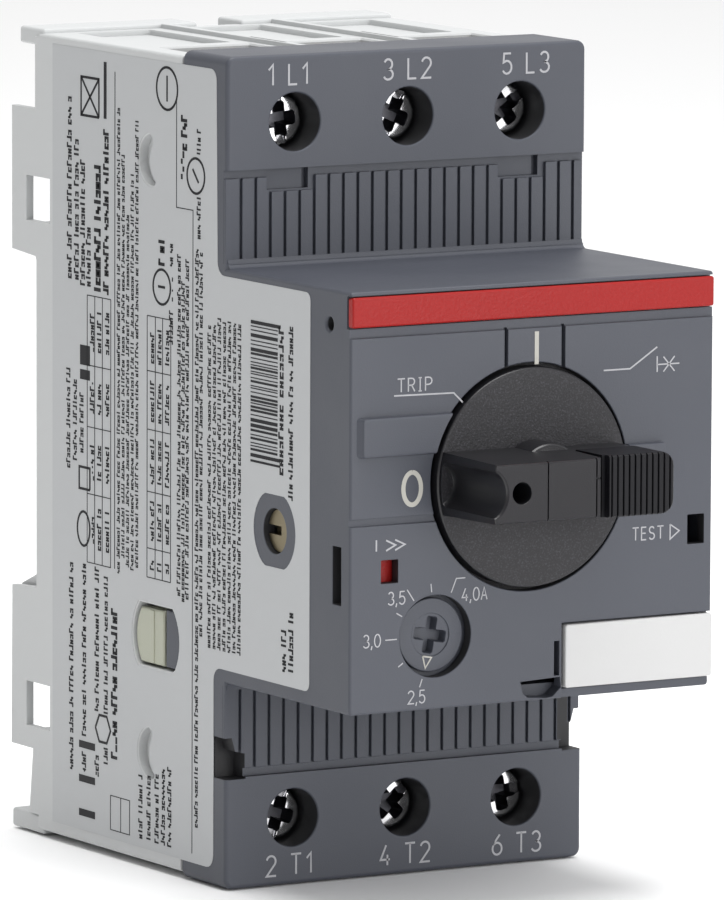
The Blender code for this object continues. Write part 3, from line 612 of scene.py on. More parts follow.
def paint_shade_on(made, boxes, look):
    """Gives the faces inside the boxes a second material, a dark colour that paints the shade there."""
    made.data.materials.append(look)
    for polygon in made.data.polygons:
        x, y, z = polygon.center / MM
        spot = (x, y + SEAT_DEPTH, z)
        if any(all(low < c < high for c, (low, high) in zip(spot, box)) for box in boxes):
            polygon.material_index = 1


def terminal_cuts():
    """Screw holes, the two pockets above the ribs and the notches at the lower corners."""
    cuts = [pocket(circle(point, SCREW_HOLE_RADIUS), "Y", 0, 10, 0.2) for point in SCREWS]
    for low, high in POCKETS:
        cuts.append(pocket(rect((low, high), POCKET_Z, 0.15), "Y", RIB_TOP, RIB_FLOOR + 0.45, 0.08))
        cuts.append(pocket(rect((high - 0.45, high + 0.1), POCKET_Z), "Y", RIB_TOP, WALL, 0.05))
    for sign in (-1, 1):
        notch = [(sign * u, v) for u, v in (
            (HALF_WIDTH + 1, -28.5), (HALF_WIDTH - 0.9, -28.5), (HALF_WIDTH - 1.3, -30.0),
            (HALF_WIDTH - 2.5, -30.3), (HALF_WIDTH - 2.5, -33.0), (HALF_WIDTH + 1, -33.0),
        )]
        cuts.append(pocket(notch, "Y", 0, 2.6, 0.1))
    return cuts


def front_bosses():
    """The two low bars beside the knob, the left one with a sloping end."""
    low = BLOCK_FACE + 0.4
    top = BLOCK_FACE - 0.75
    left = rect((-22.1, -9.5), (4.8, 9.0), 0.35)
    levels = [(low, 0), (top + 0.3, 0), (top + 0.1, -0.08), (top, -0.28)]
    slope = stack(left, "Y", levels)
    for vertex in slope.data.vertices:
        if vertex.co.x < -20.5 * MM and vertex.co.y / MM + SEAT_DEPTH < BLOCK_FACE - 0.1:
            vertex.co.x += 0.8 * MM
    right = rect((9.5, 16.2), (-1.4, 4.3), 0.35)
    return [slope, stack(right, "Y", levels)]


def front_cuts():
    """Everything cut into the control block's face."""
    face = BLOCK_FACE
    deep = BLOCK_INNER + 0.5
    wide = (-30, 30)
    trap = [
        (-1.4, -20.4), (3.5, -20.2), (3.6, -21.3), (2.6, -22.2), (1.8, -22.3), (-0.5, -22.1),
        (-1.1, -21.6),
    ]
    shallow = (
        (wide, (17.4, 18.6), 0.3, 0.1), ((-3.62, -3.2), (12.0, 17.6), 0.7, 0.08),
        ((3.45, 3.9), (12.0, 17.6), 0.7, 0.08), ((3.7, 30), (-21.6, -14.4), 1.0, 0.08),
        ((3.7, 30), (-23.5, -21.45), 0.7, 0.1), ((-30, -11.0), (-2.5, -1.7), 0.3, 0.1),
    )
    cuts = [pocket(rect(u, v), "Y", face, face + depth, mouth) for u, v, depth, mouth in shallow]
    return cuts + [
        pocket(circle(KNOB, KNOB_HOLE_RADIUS, 96), "Y", face, deep, 0.15),
        pocket(circle(DIAL, DIAL_HOLE_RADIUS, 64), "Y", face, deep, 0.12),
        stack(rect(wide, (18.4, 21.9)), "Y", [(face - 1, 0), (face + 0.8, 0)]),
        pocket(rect((2.75, 3.4), (-20.0, -16.3)), "Y", face, deep, 0.06),
        pocket(trap, "Y", face, deep, 0.12),
        pocket(rect((-18.7, -16.6), (-8.7, -6.2), 0.1), "Y", face, deep, 0.06),
        pocket(rect((19.4, 21.5), (-7.0, -3.8), 0.1), "Y", face, deep, 0.05),
        block((18.0, HALF_WIDTH - 0.3), (BLOCK_INNER, -18), (-9.0, -2.0)),
    ]


def label_outline():
    """The side label's outline, as depth and height."""
    top, bottom, back, waist, front = 43.5, -43.0, 38.5, 1.9, -17.8
    return [
        (back, top),
        *arc((waist + 1.5, top - 1.2), 1.2, 90, 180, 5),
        *arc((waist - 1.4, 22.9), 1.4, 0, -90, 5),
        *arc((front + 0.9, 20.6), 0.9, 90, 180, 5),
        *arc((front + 0.9, -20.1), 0.9, 180, 270, 5),
        *arc((waist - 0.7, -22.4), 1.4, 90, 0, 5),
        *arc((waist + 2.2, bottom + 1.5), 1.5, 180, 270, 5),
        (back, bottom),
    ]


def side_cuts():
    """What is cut into the left side of the cover."""
    side = -HALF_WIDTH
    openings = (
        (circle(SHAFT, 2.45), 0.08), (circle((-21.7, 18.6), 0.75, 24), 0.3),
        (rect((-24.3, -22.5), (-11.0, -4.8), 0.1), 0.08),
    )
    return [pocket(outline, "X", side, side + WALL + 0.5, mouth) for outline, mouth in openings]


# ---- housing


def wing_outline():
    """The rear edge of the side walls, as depth and height."""
    lower_top, lower_bottom = -17.2, -35.5
    return [
        (38.0, 44.0), (42.7, 44.0), (42.7, 36.0), (WING_DEPTH, 36.0), (WING_DEPTH, 20.0),
        (SEAT_DEPTH + 0.2, 19.6), (SEAT_DEPTH, 19.2), (SEAT_DEPTH, lower_top),
        (WING_DEPTH, lower_top - 0.4), (WING_DEPTH + 0.2, lower_bottom), (43.2, lower_bottom),
        (44.0, -42.8), (38.0, -42.8),
    ]


def wing_parts():
    """The rear edges of the side walls with the blocks around their windows, and the windows."""
    added = []
    cuts = []
    for sign in (-1, 1):
        wall = mirrored((HALF_WIDTH - WING_THICK, HALF_WIDTH), sign)
        added.append(slab(wing_outline(), "X", wall, 0.12, 0.12, 2))
        opening = mirrored((HALF_WIDTH - 5.2, HALF_WIDTH + 1), sign)
        gone = mirrored((HALF_WIDTH - 5.2, HALF_WIDTH - WING_THICK), sign)
        corner = mirrored((HALF_WIDTH - 6.0, HALF_WIDTH - 0.3), sign)
        for low, high in WINDOW_HEIGHTS:
            added.append(block(corner, (37.7, HOUSING_BACK - 0.2), (low - 1.5, high + 1.5)))
            cuts.append(block(opening, WINDOW_DEPTH, (low, high)))
            cuts.append(block(gone, (WINDOW_DEPTH[0], 50), (low, high)))
    return added, cuts


def barrier_parts(front):
    """The walls between the poles, and the grooves in their ends."""
    added = []
    cuts = []
    for x in (-BARRIER_X, BARRIER_X):
        thick = (x - BARRIER_THICK / 2, x + BARRIER_THICK / 2)
        for side in SIDES.values():
            added.append(block(thick, (front + 0.4, 41.0), mirrored((15.0, 44.9), side), 0.12))
            cuts.append(block((x - 0.2, x + 0.2), (14.0, 22.0), mirrored((44.3, 46.0), side)))
    return added, cuts


def rail_parts():
    """The ledges and feet at the back, the latch's guides, the rail seat and its hooks."""
    made = []
    for sign in (-1, 1):
        ledge = mirrored((2.8, HALF_WIDTH - 0.2), sign)
        made.append(block(ledge, (41.0, 46.5), (43.0, 44.9), 0.35, 3))
        foot = mirrored((10.8, HALF_WIDTH - 0.2), sign)
        made.append(block(foot, (41.0, WING_DEPTH + 0.3), (-44.9, -42.8), 0.35, 3))
        guide = mirrored((10.4, 11.6), sign)
        made.append(block(guide, (41.0, 47.0), (-38.5, -24.6), 0.2))
    made.append(block((-19.5, 19.5), (41.0, SEAT_DEPTH), (-13.5, 16.5), 0.15))
    hook = [
        (41.0, 21.5), (47.2, 21.5), (47.2, 18.9), (45.6, 17.3), (43.8, 17.3), (43.8, 19.0),
        (41.0, 19.0),
    ]
    for x in (-11.0, 11.0):
        made.append(slab(hook, "X", (x - 4.0, x + 4.0), 0.2, 0.2, 2))
    return made


def wire_entries(front):
    """The wire entry of each terminal and the shallow panel behind it."""
    shapes = (
        (5.6, (front - 1, WIRE_ENTRY_BACK), 0.2, 42.0, 0.3), (4.6, (22.0, 40.0), 0.3, 43.8, 0.2),
    )
    cuts = []
    for x in POLES:
        for side in SIDES.values():
            for half, depth, corner, floor, flare in shapes:
                levels = ((floor, 0), (44.2, 0), (44.6, flare), (46.0, flare))
                levels = [(side * z, grow) for z, grow in levels]
                cuts.append(stack(rect((x - half, x + half), depth, corner), "Z", levels))
    return cuts


def housing_side_cuts():
    """The round opening and the two crescents in the left side."""
    side = -HALF_WIDTH
    middle = lens(MIDDLE_OPENING, 5.1, (-22.8, -15.9))
    opening = pocket(middle, "X", side, side + WALL + 1, 0.1)
    recesses = [pocket(crescent(at, 2.8), "X", side, side + 1.1, 0.1) for at in CRESCENTS]
    return [opening, *recesses]


def make_housing():
    """The light grey base behind the cover."""
    front = COVER_DEPTH + 0.3
    top = HALF_HEIGHT - 0.6
    shell = slab(
        rect((-HALF_WIDTH, HALF_WIDTH), (-top, top), 0.4, 3), "Y", (front, HOUSING_BACK), 0.15, 0.3
    )
    hollow = block(
        (-HALF_WIDTH + WALL, HALF_WIDTH - WALL), (front - 1, HOUSING_BACK - WALL - 0.4),
        (-top + WALL, top - WALL),
    )
    carve(shell, hollow)
    wings, windows = wing_parts()
    barriers, grooves = barrier_parts(front)
    unite(shell, *wings, *barriers, *rail_parts())
    carve(shell, *windows, *grooves, *wire_entries(front), *housing_side_cuts())
    return piece("housing", shell, LIGHT_GREY, "housing", ["rear_housing"])


def crescent(centre, radius):
    """A crescent: the rear side of a circle, closed by a gentle S."""
    half = arc(centre, radius, -105, 82, 24)
    u, v = centre
    inner = [(-0.1, 2.55), (-0.4, 2.1), (-0.3, 1.5), (0.2, 0.7), (0.35, -0.2), (0.1, -1.1),
             (-0.5, -1.9), (-1.0, -2.3)]
    return half + [(u + du, v + dv) for du, dv in inner]


# ---- label and its print


def make_label():
    """The thin label on the left side, with its windows."""
    outer = -HALF_WIDTH - LABEL_PROUD
    film = stack(label_outline(), "X", [(outer, 0), (-HALF_WIDTH + 0.12, 0)])
    outlines = [crescent(centre, 2.95) for centre in CRESCENTS]
    outlines.append(lens(MIDDLE_OPENING, 5.3, (-23.0, -15.7)))
    outlines.append(lens(SHAFT, 4.45, (SHAFT[1] - 3.9, SHAFT[1] + 3.9)))
    windows = [stack(outline, "X", [(outer - 1, 0), (outer + 2, 0)]) for outline in outlines]
    carve(film, *windows)
    return piece("side_label", film, LABEL, "housing", ["rating_label"])


GREEK = (
    (((0.0, 0.16), (0.0, 1.0)), ((0.16, 0.5), (0.84, 1.0))),
    (((0.0, 0.5), (0.0, 0.16)), ((0.0, 0.16), (0.16, 0.7)), ((0.16, 0.5), (0.54, 0.7))),
    (((0.17, 0.33), (0.0, 1.0)),),
    (((0.0, 0.16), (0.0, 0.7)), ((0.34, 0.5), (0.0, 0.7)), ((0.16, 0.34), (0.27, 0.43))),
    (((0.0, 0.5), (0.54, 0.7)), ((0.34, 0.5), (0.0, 0.54)), ((0.0, 0.2), (0.0, 0.16))),
    (((0.0, 0.5), (0.27, 0.43)), ((0.0, 0.16), (0.43, 0.7)), ((0.34, 0.5), (0.0, 0.27))),
    (((0.0, 0.5), (0.0, 0.16)), ((0.34, 0.5), (0.16, 1.0))),
)


def greek_line(rng, foot, start, end, height, bold=1.25, wide=1.0):
    """Unreadable strokes in place of one line of small print that runs upwards."""
    rectangles = []
    z = start
    left = rng.randint(2, 8)
    while z + 0.5 * height * wide < end:
        for (u0, u1), (v0, v1) in rng.choice(GREEK):
            grow = 0.04 * bold * height
            rectangles.append((
                (foot + v0 * height - grow, foot + v1 * height + grow),
                (z + u0 * height * wide - grow, z + u1 * height * wide + grow),
            ))
        z += 0.72 * height * wide
        left -= 1
        if left <= 0:
            z += 0.5 * height * wide
            left = rng.randint(2, 9)
    return rectangles


def table_lines(depths, heights):
    """The ruled lines of a small table."""
    t = 0.05
    lines = [((min(depths), max(depths)), (z - t, z + t)) for z in heights]
    lines += [((y - t, y + t), (min(heights), max(heights))) for y in depths]
    return lines


def greek_lines(rng, rows):
    """One line of small print for each row of greek_line's values."""
    return [stroke for row in rows for stroke in greek_line(rng, *row)]


def rear_print(rng):
    """The lines and rules along the label's rear edge."""
    out = greek_lines(rng, (
        (34.2, 18, 38, 0.95), (32.6, 18, 34, 0.95), (31.2, 17.5, 31.5, 0.95),
        (29.9, 17.5, 24.5, 0.95), (27.7, 17.0, 31.5, 1.25, 2.2), (25.9, 17.0, 35.0, 1.05, 1.8),
    ))
    out += [((26.3, 26.9), (36.2, 42.4)), ((24.35, 24.47), (-13.0, 41.5))]
    for i in range(5):
        start = -13.5 + rng.random() * 2
        out += greek_line(rng, 23.3 - 1.02 * i, start, 38 - 6 * i * rng.random(), 0.62)
    for i in range(3):
        out += greek_line(rng, 34.5 - 1.5 * i, -3 + i, 8 - i, 0.8, 1.2)
        out += greek_line(rng, 33.8 - 2.9 * i, -36.5, -15.5 + 3 * rng.random(), 0.85, 1.3)
    out += greek_lines(rng, ((26.0, -35.0, -14.0, 0.8), (23.9, -34.0, -17.0, 1.2, 1.8)))
    return out


def filled_table(rng, depths, heights, rows, margins):
    """A ruled table with a stroke of small print in every cell."""
    out = []
    for row in rows:
        for a, b in zip(heights, heights[1:]):
            out += greek_line(rng, row, a + margins[0], b - margins[1], margins[2])
    return table_lines(depths, heights) + out


def front_print(rng):
    """The lines and rules between the tables and the label's front edge."""
    out = [((10.75, 10.85), (28.0, 39.8)), ((7.2, 10.85), (27.9, 28.0))]
    out.append(((7.15, 7.25), (-42.0, 28.0)))
    out += greek_lines(rng, (
        (8.6, 31.0, 38.5, 1.15, 1.9), (5.6, 25.0, 37.0, 0.75),
        (13.5, 17.5, 25.0, 1.15, 1.9), (11.6, 13.0, 24.0, 0.75),
    ))
    for foot in (9.9, 9.0, 8.1):
        start = -15.0 + rng.random()
        out += greek_line(rng, foot, start, 20.0 + 4 * rng.random(), 0.68)
    out += greek_lines(rng, ((6.0, -39.0, 24.0, 0.68), (5.1, -18.0, 24.0, 0.68)))
    for i in range(7):
        out += greek_line(rng, 3.3 - 1.08 * i, -19.0, 15.5 + 2.5 * rng.random(), 0.66)
    return out


def bar_code(rng):
    """The stripes, a little longer at both ends, and the print beside them."""
    out = []
    z = 2.2
    while z < 17.4:
        thick = rng.choice((0.12, 0.12, 0.25, 0.38))
        out.append(((-11.0 if 2.9 < z < 16.8 else -11.6, -5.3), (z, z + thick)))
        z += thick + rng.choice((0.13, 0.2, 0.3))
    return out + greek_lines(rng, (
        (-12.2, 1.5, 17.5, 0.95, 1.3, 1.4), (-14.2, -1.0, 17.8, 0.85, 1.3),
        (-12.9, -19.5, -14.5, 0.95, 1.3), (-14.4, -19.5, -13.0, 0.95, 1.3),
    ))


def make_label_print():
    """Bars, rules, tables and stripes that stand for the label's small print."""
    rng = random.Random(7)
    out = rear_print(rng)
    columns = [-13.0, -5.4, 2.0, 8.8, 16.5]
    out += filled_table(rng, [25.3, 27.2, 28.9, 30.6], columns, (25.7, 27.5, 29.1), (1.6, 1.4, 0.85))
    columns = [-13.0, -9.8, -3.6, 3.2, 9.6, 15.6]
    out += filled_table(rng, [12.0, 13.8, 15.4, 17.2], columns, (12.4, 14.1, 15.7), (0.9, 0.9, 0.8))
    out += front_print(rng) + bar_code(rng)
    for i, foot in enumerate((18.2, 16.4, 14.6, 13.2, 11.8)):
        out += greek_line(rng, foot, -42.0, -35.0 + i * 0.5, 0.8, 1.2)
    out += table_lines([21.0, 23.0, 25.3], [-42.0, -38.2])
    icons = label_icons()
    blocks = label_blocks()
    taken = blocks + [tuple((min(c), max(c)) for c in zip(*stroke)) for stroke in icons]
    out = [mark for mark in out if not any(overlapping(mark, area) for area in taken)]
    outer = -HALF_WIDTH - LABEL_PROUD
    ink = (outer - INK, outer + 0.02)
    marks = [bars(out + blocks, "X", ink), ribbons(icons, 0.28, "X", ink)]
    return piece("label_print", joined(marks), PRINT, "housing")


def overlapping(mark, area, room=0.3):
    """Whether a mark, unless it is a long rule, comes within room of an area."""
    return all(
        low < high_other + room and high > low_other - room
        for (low, high), (low_other, high_other) in zip(mark, area)
    ) and max(high - low for low, high in mark) < 4


def label_blocks():
    """Bold plain blocks where the label has its large marks."""
    blocks = [((30.0, 32.2), (7.1, 8.2)), ((30.0, 32.2), (8.7, 10.9))]
    return blocks + [((28.8, 32.4), (z, z + 0.8)) for z in (-41.4, -37.6, -33.8)]


def label_icons():
    """Plain rings, boxes and a hexagon where the label has its symbols."""
    rings = (((12.9, 40.6), 2.3), ((6.6, 31.7), 1.9), ((14.0, 19.0), 1.9), ((31.4, -9.4), (1.4, 1.9)))
    strokes = [arc(centre, radius, 90, 450, 28) for centre, radius in rings]
    boxes = [rect((28.0, 32.0), (36.2, 40.4)), rect((30.0, 32.4), (-5.0, -2.6))]
    for outline in boxes + [circle((27.0, -31.1), 1.7, 6)]:
        strokes.append(outline + outline[:1])
    strokes += [[(28.0, 36.2), (32.0, 40.4)], [(28.0, 40.4), (32.0, 36.2)]]
    strokes += [[(12.9, 39.2), (12.9, 42.0)], [(6.0, 31.0), (7.3, 32.4)], [(13.3, 19.0), (14.8, 19.0)]]
    return strokes


# ---- trims and marks


def make_trims():
    """The red strip and the white marker plate."""
    for node, name, look, slot, corner, edge in (
        ("trim_strip", "red_strip", RED, "red_plastic", 0.25, 0.22),
        ("marker_plate", "white_marker", WHITE, "white_plastic", 0.3, 0.15),
    ):
        x, y, z = node_box(node)
        piece(name, slab(rect(x, z, corner), "Y", y, edge), look, "housing", [node])


def terminal_marks():
    """The numbers above and below the screw holes."""
    texts = (("1 L1", -0.9, "2 T1", -0.5), ("3 L2", -0.15, "4 T2", 0.0), ("5 L3", 0.7, "6 T3", 0.1))
    marks = []
    for x, (upper, upper_shift, lower, lower_shift) in zip(POLES, texts):
        for text, at in ((upper, (x + upper_shift, 41.75)), (lower, (x + lower_shift, -43.9))):
            marks.append((0.22, lettering(text, at, 2.2, 0.95, 0.36)))
    return marks


def switch_symbols():
    """The trip and test marks, the arrows of the trip flag and the switch symbol."""
    return [
        (0.14, lettering("TRIP", (-14.7, 11.5), 1.4, 1.04, 0.32)),
        (0.16, [[(-17.2, 11.15), (-9.9, 11.05), (-8.8, 10.0)]]),
        (0.14, lettering("TEST", (14.4, -6.15), 1.35, 0.95, 0.3)),
        (0.14, [[(17.2, -4.7), (18.35, -5.45), (17.2, -6.3), (17.2, -4.7)]]),
        (0.18, [[(-19.3, -4.0), (-19.3, -5.2)]]),
        (0.18, [[(-18.1, -4.1), (-16.95, -4.65), (-18.1, -5.2)]]),
        (0.18, [[(-17.0, -4.1), (-15.8, -4.65), (-17.0, -5.2)]]),
        (0.16, [[(8.7, 12.35), (12.0, 12.35), (15.4, 14.5)], [(15.4, 13.5), (15.4, 11.8)]]),
        (0.14, [[(15.4, 12.6), (18.2, 12.6)]]),
        (0.14, [[(16.2, 13.4), (17.6, 11.8)], [(17.6, 13.4), (16.2, 11.8)]]),
    ]


def dial_point(angle, radius):
    """A point around the dial, with its angle clockwise from straight down."""
    turn = math.radians(angle)
    return DIAL[0] - radius * math.sin(turn), DIAL[1] - radius * math.cos(turn)


def dial_scale():
    """The ticks and numbers of the current scale."""
    ticks = []
    for angle, length in ((20, 0.9), (57, 0.7), (90, 1.4), (120, 0.8), (146, 1.5), (174, 0.9)):
        ticks.append([dial_point(angle, radius) for radius in (4.75, 4.75 + length)])
    foot = [dial_point(203, radius) for radius in (4.9, 6.5)]
    ticks.append(foot + [(foot[1][0] + 1.1, foot[1][1])])
    marks = [(0.12, ticks)]
    numbers = (
        ("2,5", (-14.3, -21.7)), ("3,0", (-19.8, -15.35)), ("3,5", (-16.8, -11.0)),
        ("4,0A", (-7.2, -11.2)),
    )
    for text, at in numbers:
        marks.append((0.13, lettering(text, at, 1.35, 0.95, 0.2)))
    return marks


def make_front_marks():
    """Terminal numbers, switch positions, the dial's scale and the symbols."""
    face = (BLOCK_FACE - INK, BLOCK_FACE + 0.02)
    terminal = (-INK, 0.02)
    made = [ribbons(strokes, width, "Y", terminal) for width, strokes in terminal_marks()]
    made += [ribbons(strokes, width, "Y", face) for width, strokes in switch_symbols() + dial_scale()]
    piece("front_marks", joined(made), MARK, "housing")
    big = [
        ribbons([arc((-14.95, 1.2), (1.08, 1.72), 90, 450, 32)], 0.5, "Y", face),
        ribbons([[(0.33, 13.5), (0.33, 17.0)]], 0.5, "Y", face),
    ]
    piece("switch_marks", joined(big), MARK_WARM, "housing")


# ---- controls


def knob_lever():
    """The lever, with a little draft, before its scoop is cut."""
    x, z = KNOB
    spread = math.degrees(math.asin(LEVER_HALF_WIDTH / LEVER_REACH))
    outline = arc(KNOB, LEVER_REACH, 180 - spread, 180 + spread, 12)
    outline += [(x + 2.2, z - LEVER_HALF_WIDTH), (x + 2.2, z + LEVER_HALF_WIDTH)]
    draft = 0.15
    return stack(outline, "Y", [
        (LEVER_TOP, -draft - 0.3), (LEVER_TOP + 0.1, -draft - 0.1), (LEVER_TOP + 0.3, -draft),
        (KNOB_FACE + 0.5, 0.05),
    ])


def knob_cuts():
    """The finger scoop, the padlock hole, the fine joint lines, the shaft hole and the tongue's slot."""
    x, z = KNOB
    top = LEVER_TOP
    reach = 2.8
    dent = arc((x - 12.4, z), reach, -90, 90, 28) + [(x - 16, z + reach), (x - 16, z - reach)]
    bowl = [(-1, 0.3), (-0.02, 0.3), (0.1, 0.12), (0.35, 0), (9.6, -0.15), (10.2, -0.5)]
    return [
        stack(dent, "Y", [(top + depth, grow) for depth, grow in bowl]),
        pocket(circle((x - 7.75, z), 1.15, 40), "Y", top, KNOB_FACE - 2.0, 0.1),
        pocket(rect((x - 4.62, x - 4.48), (z - 4, z + 4)), "Y", top, top + 0.5, 0.05),
        pocket(rect((x + 1.35, x + 1.5), (z - 4, z + 4)), "Y", top, top + 0.4, 0.04),
        pocket(rect((x + 1.4, x + 2.5), (z + 0.9, z + 1.1)), "Y", top, top + 0.4, 0.03),
        block((x - 1.6, x + 1.6), (BLOCK_INNER - 0.5, 0), (z - 1.6, z + 1.6)),
        block((x - 3.0, x + 2.6), (KNOB_FACE - 6.9, KNOB_FACE - HUB_HEIGHT + 0.4), (z - 1.3, z + 1.3)),
    ]


def make_knob():
    """The turning knob: a textured disc with a smooth-sided lever."""
    x, z = KNOB
    disc = slab(circle(KNOB, KNOB_RADIUS, 96), "Y", (KNOB_FACE, BLOCK_INNER + 1.0), 0.3)
    hub = slab(circle(KNOB, 4.05, 64), "Y", (KNOB_FACE - HUB_HEIGHT + 0.2, KNOB_FACE + 0.5), 0.5)
    depth = (KNOB_FACE - HUB_HEIGHT, KNOB_FACE + 0.4)
    floor = block((x + 1.0, x + 10.4), depth, (z - 3.1, z + 3.1), 0.15)
    flange = slab(circle(KNOB, KNOB_HOLE_RADIUS + 0.9, 96), "Y", FLANGE_DEPTH)
    unite(disc, hub, knob_lever(), floor, flange)
    carve(disc, *knob_cuts())
    made = piece("knob", disc, BLACK, "knob", ["turning_knob"])
    made.data.materials.append(GLOSS_BLACK)
    made.data.materials.append(SMOOTH_BLACK)
    for polygon in made.data.polygons:
        depth = polygon.center.y / MM + SEAT_DEPTH
        if -polygon.normal.y < 0.75:
            polygon.material_index = 1
        elif depth < KNOB_FACE - 0.5:
            polygon.material_index = 2


def make_grip():
    """The ribbed end of the lever that slides out for a padlock."""
    x, z = KNOB
    back = KNOB_FACE - HUB_HEIGHT - 0.3
    outline = [(x + 2.6, z - 3.3)] + arc((x + 9.6, z - 1.8), 1.5, -90, 0, 5)
    outline += arc((x + 9.6, z + 1.8), 1.5, 0, 90, 5) + [(x + 2.6, z + 3.3)]
    grip = slab(outline, "Y", (LEVER_TOP, back), 0.35, 0.2)
    cuts = []
    pitch = 0.72
    for i in range(11):
        at = x + 3.25 + pitch * i
        cuts.append(pocket(rect((at, at + 0.16), (z - 5, z + 5)), "Y", LEVER_TOP, LEVER_TOP + 0.35, 0.1))
    cuts.append(block((x + 2.0, x + 3.0), (LEVER_TOP - 1, LEVER_TOP + 0.9), (z - 5, z + 5)))
    carve(grip, *cuts)
    tongue = block((x - 2.6, x + 3.0), (KNOB_FACE - 6.5, back), (z - 1.0, z + 1.0))
    unite(grip, tongue)
    piece("grip", grip, GRIP_BLACK, "lock", ["lock_slide"])


def make_dial():
    """The current setting dial with its cross slot and pointer."""
    x, z = DIAL
    face = BLOCK_FACE + 1.0
    dial = slab(circle(DIAL, DIAL_RADIUS, 64), "Y", (face, BLOCK_INNER + 2.0), 0.15)
    flange = slab(circle(DIAL, DIAL_HOLE_RADIUS + 0.9, 64), "Y", FLANGE_DEPTH)
    spindle = slab(circle(DIAL, 1.8, 32), "Y", (BLOCK_INNER + 1.0, -13.0))
    cam = slab(circle((x + 0.8, z), 2.8, 40), "Y", (-15.5, -13.5))
    unite(dial, flange, spindle, cam)
    cross = []
    for a, b in ((1.95, 0.62), (0.62, 1.95)):
        arm = rect((x - a, x + a), (z - b, z + b), 0.25)
        arm = pocket(arm, "Y", face + 0.15, face + 1.3, 0.1, 1.3, 0.1)
        cross.append(turned_about(arm, "Y", (x, 0, z), 10))
    dish = pocket(circle(DIAL, 2.3), "Y", face, face + 0.15, 0.1)
    carve(dial, dish)
    carve(dial, *cross)
    piece("dial", dial, DARK_GREY, "dial", ["setting_dial"])
    tip = [(-0.55, -2.35), (0.55, -2.35), (0.0, -3.55), (-0.55, -2.35)]
    pointer = ribbons([[(x + u, z + v) for u, v in tip]], 0.16, "Y", (face - INK, face + 0.02))
    turned_about(pointer, "Y", (x, 0, z), 10.5)
    piece("dial_pointer", pointer, MARK_WARM, "dial")


def make_indicator_and_test():
    """The red trip flag and the black test slider."""
    x, (front, back), z = node_box("trip_indicator")
    flag = block(x, (front, front + 1.0), z, 0.15)
    stem = block((-17.9, -17.1), (front + 0.8, back), (-8.0, -7.0), 0.1)
    unite(flag, stem)
    piece("trip_flag", flag, RED, "indicator", ["trip_indicator"])
    x, (front, back), z = node_box("test_slider")
    slider = block(x, (front, back), z, 0.15)
    slot = pocket(rect((19.2, 19.8), (-7.0, -3.8), 0.1), "Y", front, front + 1.0, 0.05)
    carve(slider, slot)
    piece("test_button", slider, GLOSS_BLACK, "test", ["test_slider"])


# ---- terminals and inner pieces


def make_screw(row, number):
    """A terminal screw: a pan head with a cross recess and a slot, with painted shade at the bottom of the
    recess.
    """
    node = f"terminal_screw_{row}_{number}"
    tip = node_box(node)[1][1]
    x, z = POLES[number - 1], SIDES[row] * TERMINAL_Z
    head = slab(circle((x, z), 2.85, 48), "Y", (SCREW_HEAD, SCREW_HEAD + 2.4), 0.5, 0.15, 4)
    shank = slab(circle((x, z), 1.9, 32), "Y", (SCREW_HEAD + 2.1, tip), 0, 0.3)
    unite(head, shank)
    turn = 52 + 31 * number + (24 if row == "lower" else 0)
    cuts = []
    for k in range(2):
        arm = stack(rect((x - 1.9, x + 1.9), (z - 0.7, z + 0.7), 0.3), "Y",
                    [(SCREW_HEAD - 1, 0.12), (SCREW_HEAD + 0.1, 0.08), (SCREW_HEAD + 2.0, -0.2)])
        cuts.append(turned_about(arm, "Y", (x, 0, z), turn + 90 * k))
    slot = pocket(rect((x - 4, x + 4), (z - 0.5, z + 0.5)), "Y", SCREW_HEAD, SCREW_HEAD + 1.0, 0.12)
    cuts.append(turned_about(slot, "Y", (x, 0, z), turn))
    carve(head, *cuts)
    name = f"screw_{row}_{number}"
    made = piece(name, head, CHROME, name, [node])
    # The bottom of the cross recess and slot gets the dark zinc: painted shade.
    deep = (SCREW_HEAD + 0.85, SCREW_HEAD + 2.2)
    paint_shade_on(made, [((x - 2.0, x + 2.0), deep, (z - 2.0, z + 2.0))], PAINTED_SHADE_ZINC)


def make_trip_pad():
    """The face of the trip bar that fills the rear part of the round side opening."""
    outer = -HALF_WIDTH + 0.25
    rim = arc(MIDDLE_OPENING, 4.8, -39, 39, 12)
    pad = slab([(14.0, -22.5), *rim, (14.0, -16.4)], "X", (outer, outer + 1.3), 0.25, 0.1)
    ridge = block((outer - 0.12, outer + 0.6), (16.0, 16.9), (-22.4, -16.6), 0.11)
    unite(pad, ridge)
    piece("trip_pad", pad, CREAM, "bar")


def make_latch():
    """The sliding rail latch."""
    lip = [(43.9, -21.0), (47.6, -21.0), (48.0, -17.5), (44.5, -16.1), (43.9, -16.2)]
    bar = slab(lip, "X", (-HALF_WIDTH + 1.2, HALF_WIDTH - 1.2), 0.2, 0.2, 2)
    stem = block((-10.0, 10.0), (43.2, 46.6), (-39.4, -19.0), 0.35, 3)
    unite(bar, stem)
    slot = pocket(rect((-3.0, 3.0), (-38.0, -36.4), 0.3), "Y", 46.6, 42.0, 0.2)
    carve(bar, slot)
    piece("latch", bar, LIGHT_GREY, "latch", ["rail_latch"])


def dress_cad_nodes():
    """Gives the CAD nodes that stay their finished materials, by the start of their names."""
    looks = {
        "mechanism_frame": ZINC, "knob_shaft": ZINC, "contact_spring": ZINC, "plunger": ZINC,
        "terminal_clamp": ZINC, "switching_shaft": BRONZE, "bimetal": BIMETAL, "arc_chute": FIBRE,
        "line_contact": COPPER, "load_contact": COPPER, "trip_coil": COPPER,
        "contact_bridge": COPPER, "contact_carrier": CREAM, "trip_bar": CREAM, "trip_lever": CREAM,
    }
    for name, made in frame["nodes"].items():
        for start, look in looks.items():
            if name.startswith(start) and not made.hide_render:
                made.data.materials.clear()
                made.data.materials.append(look)


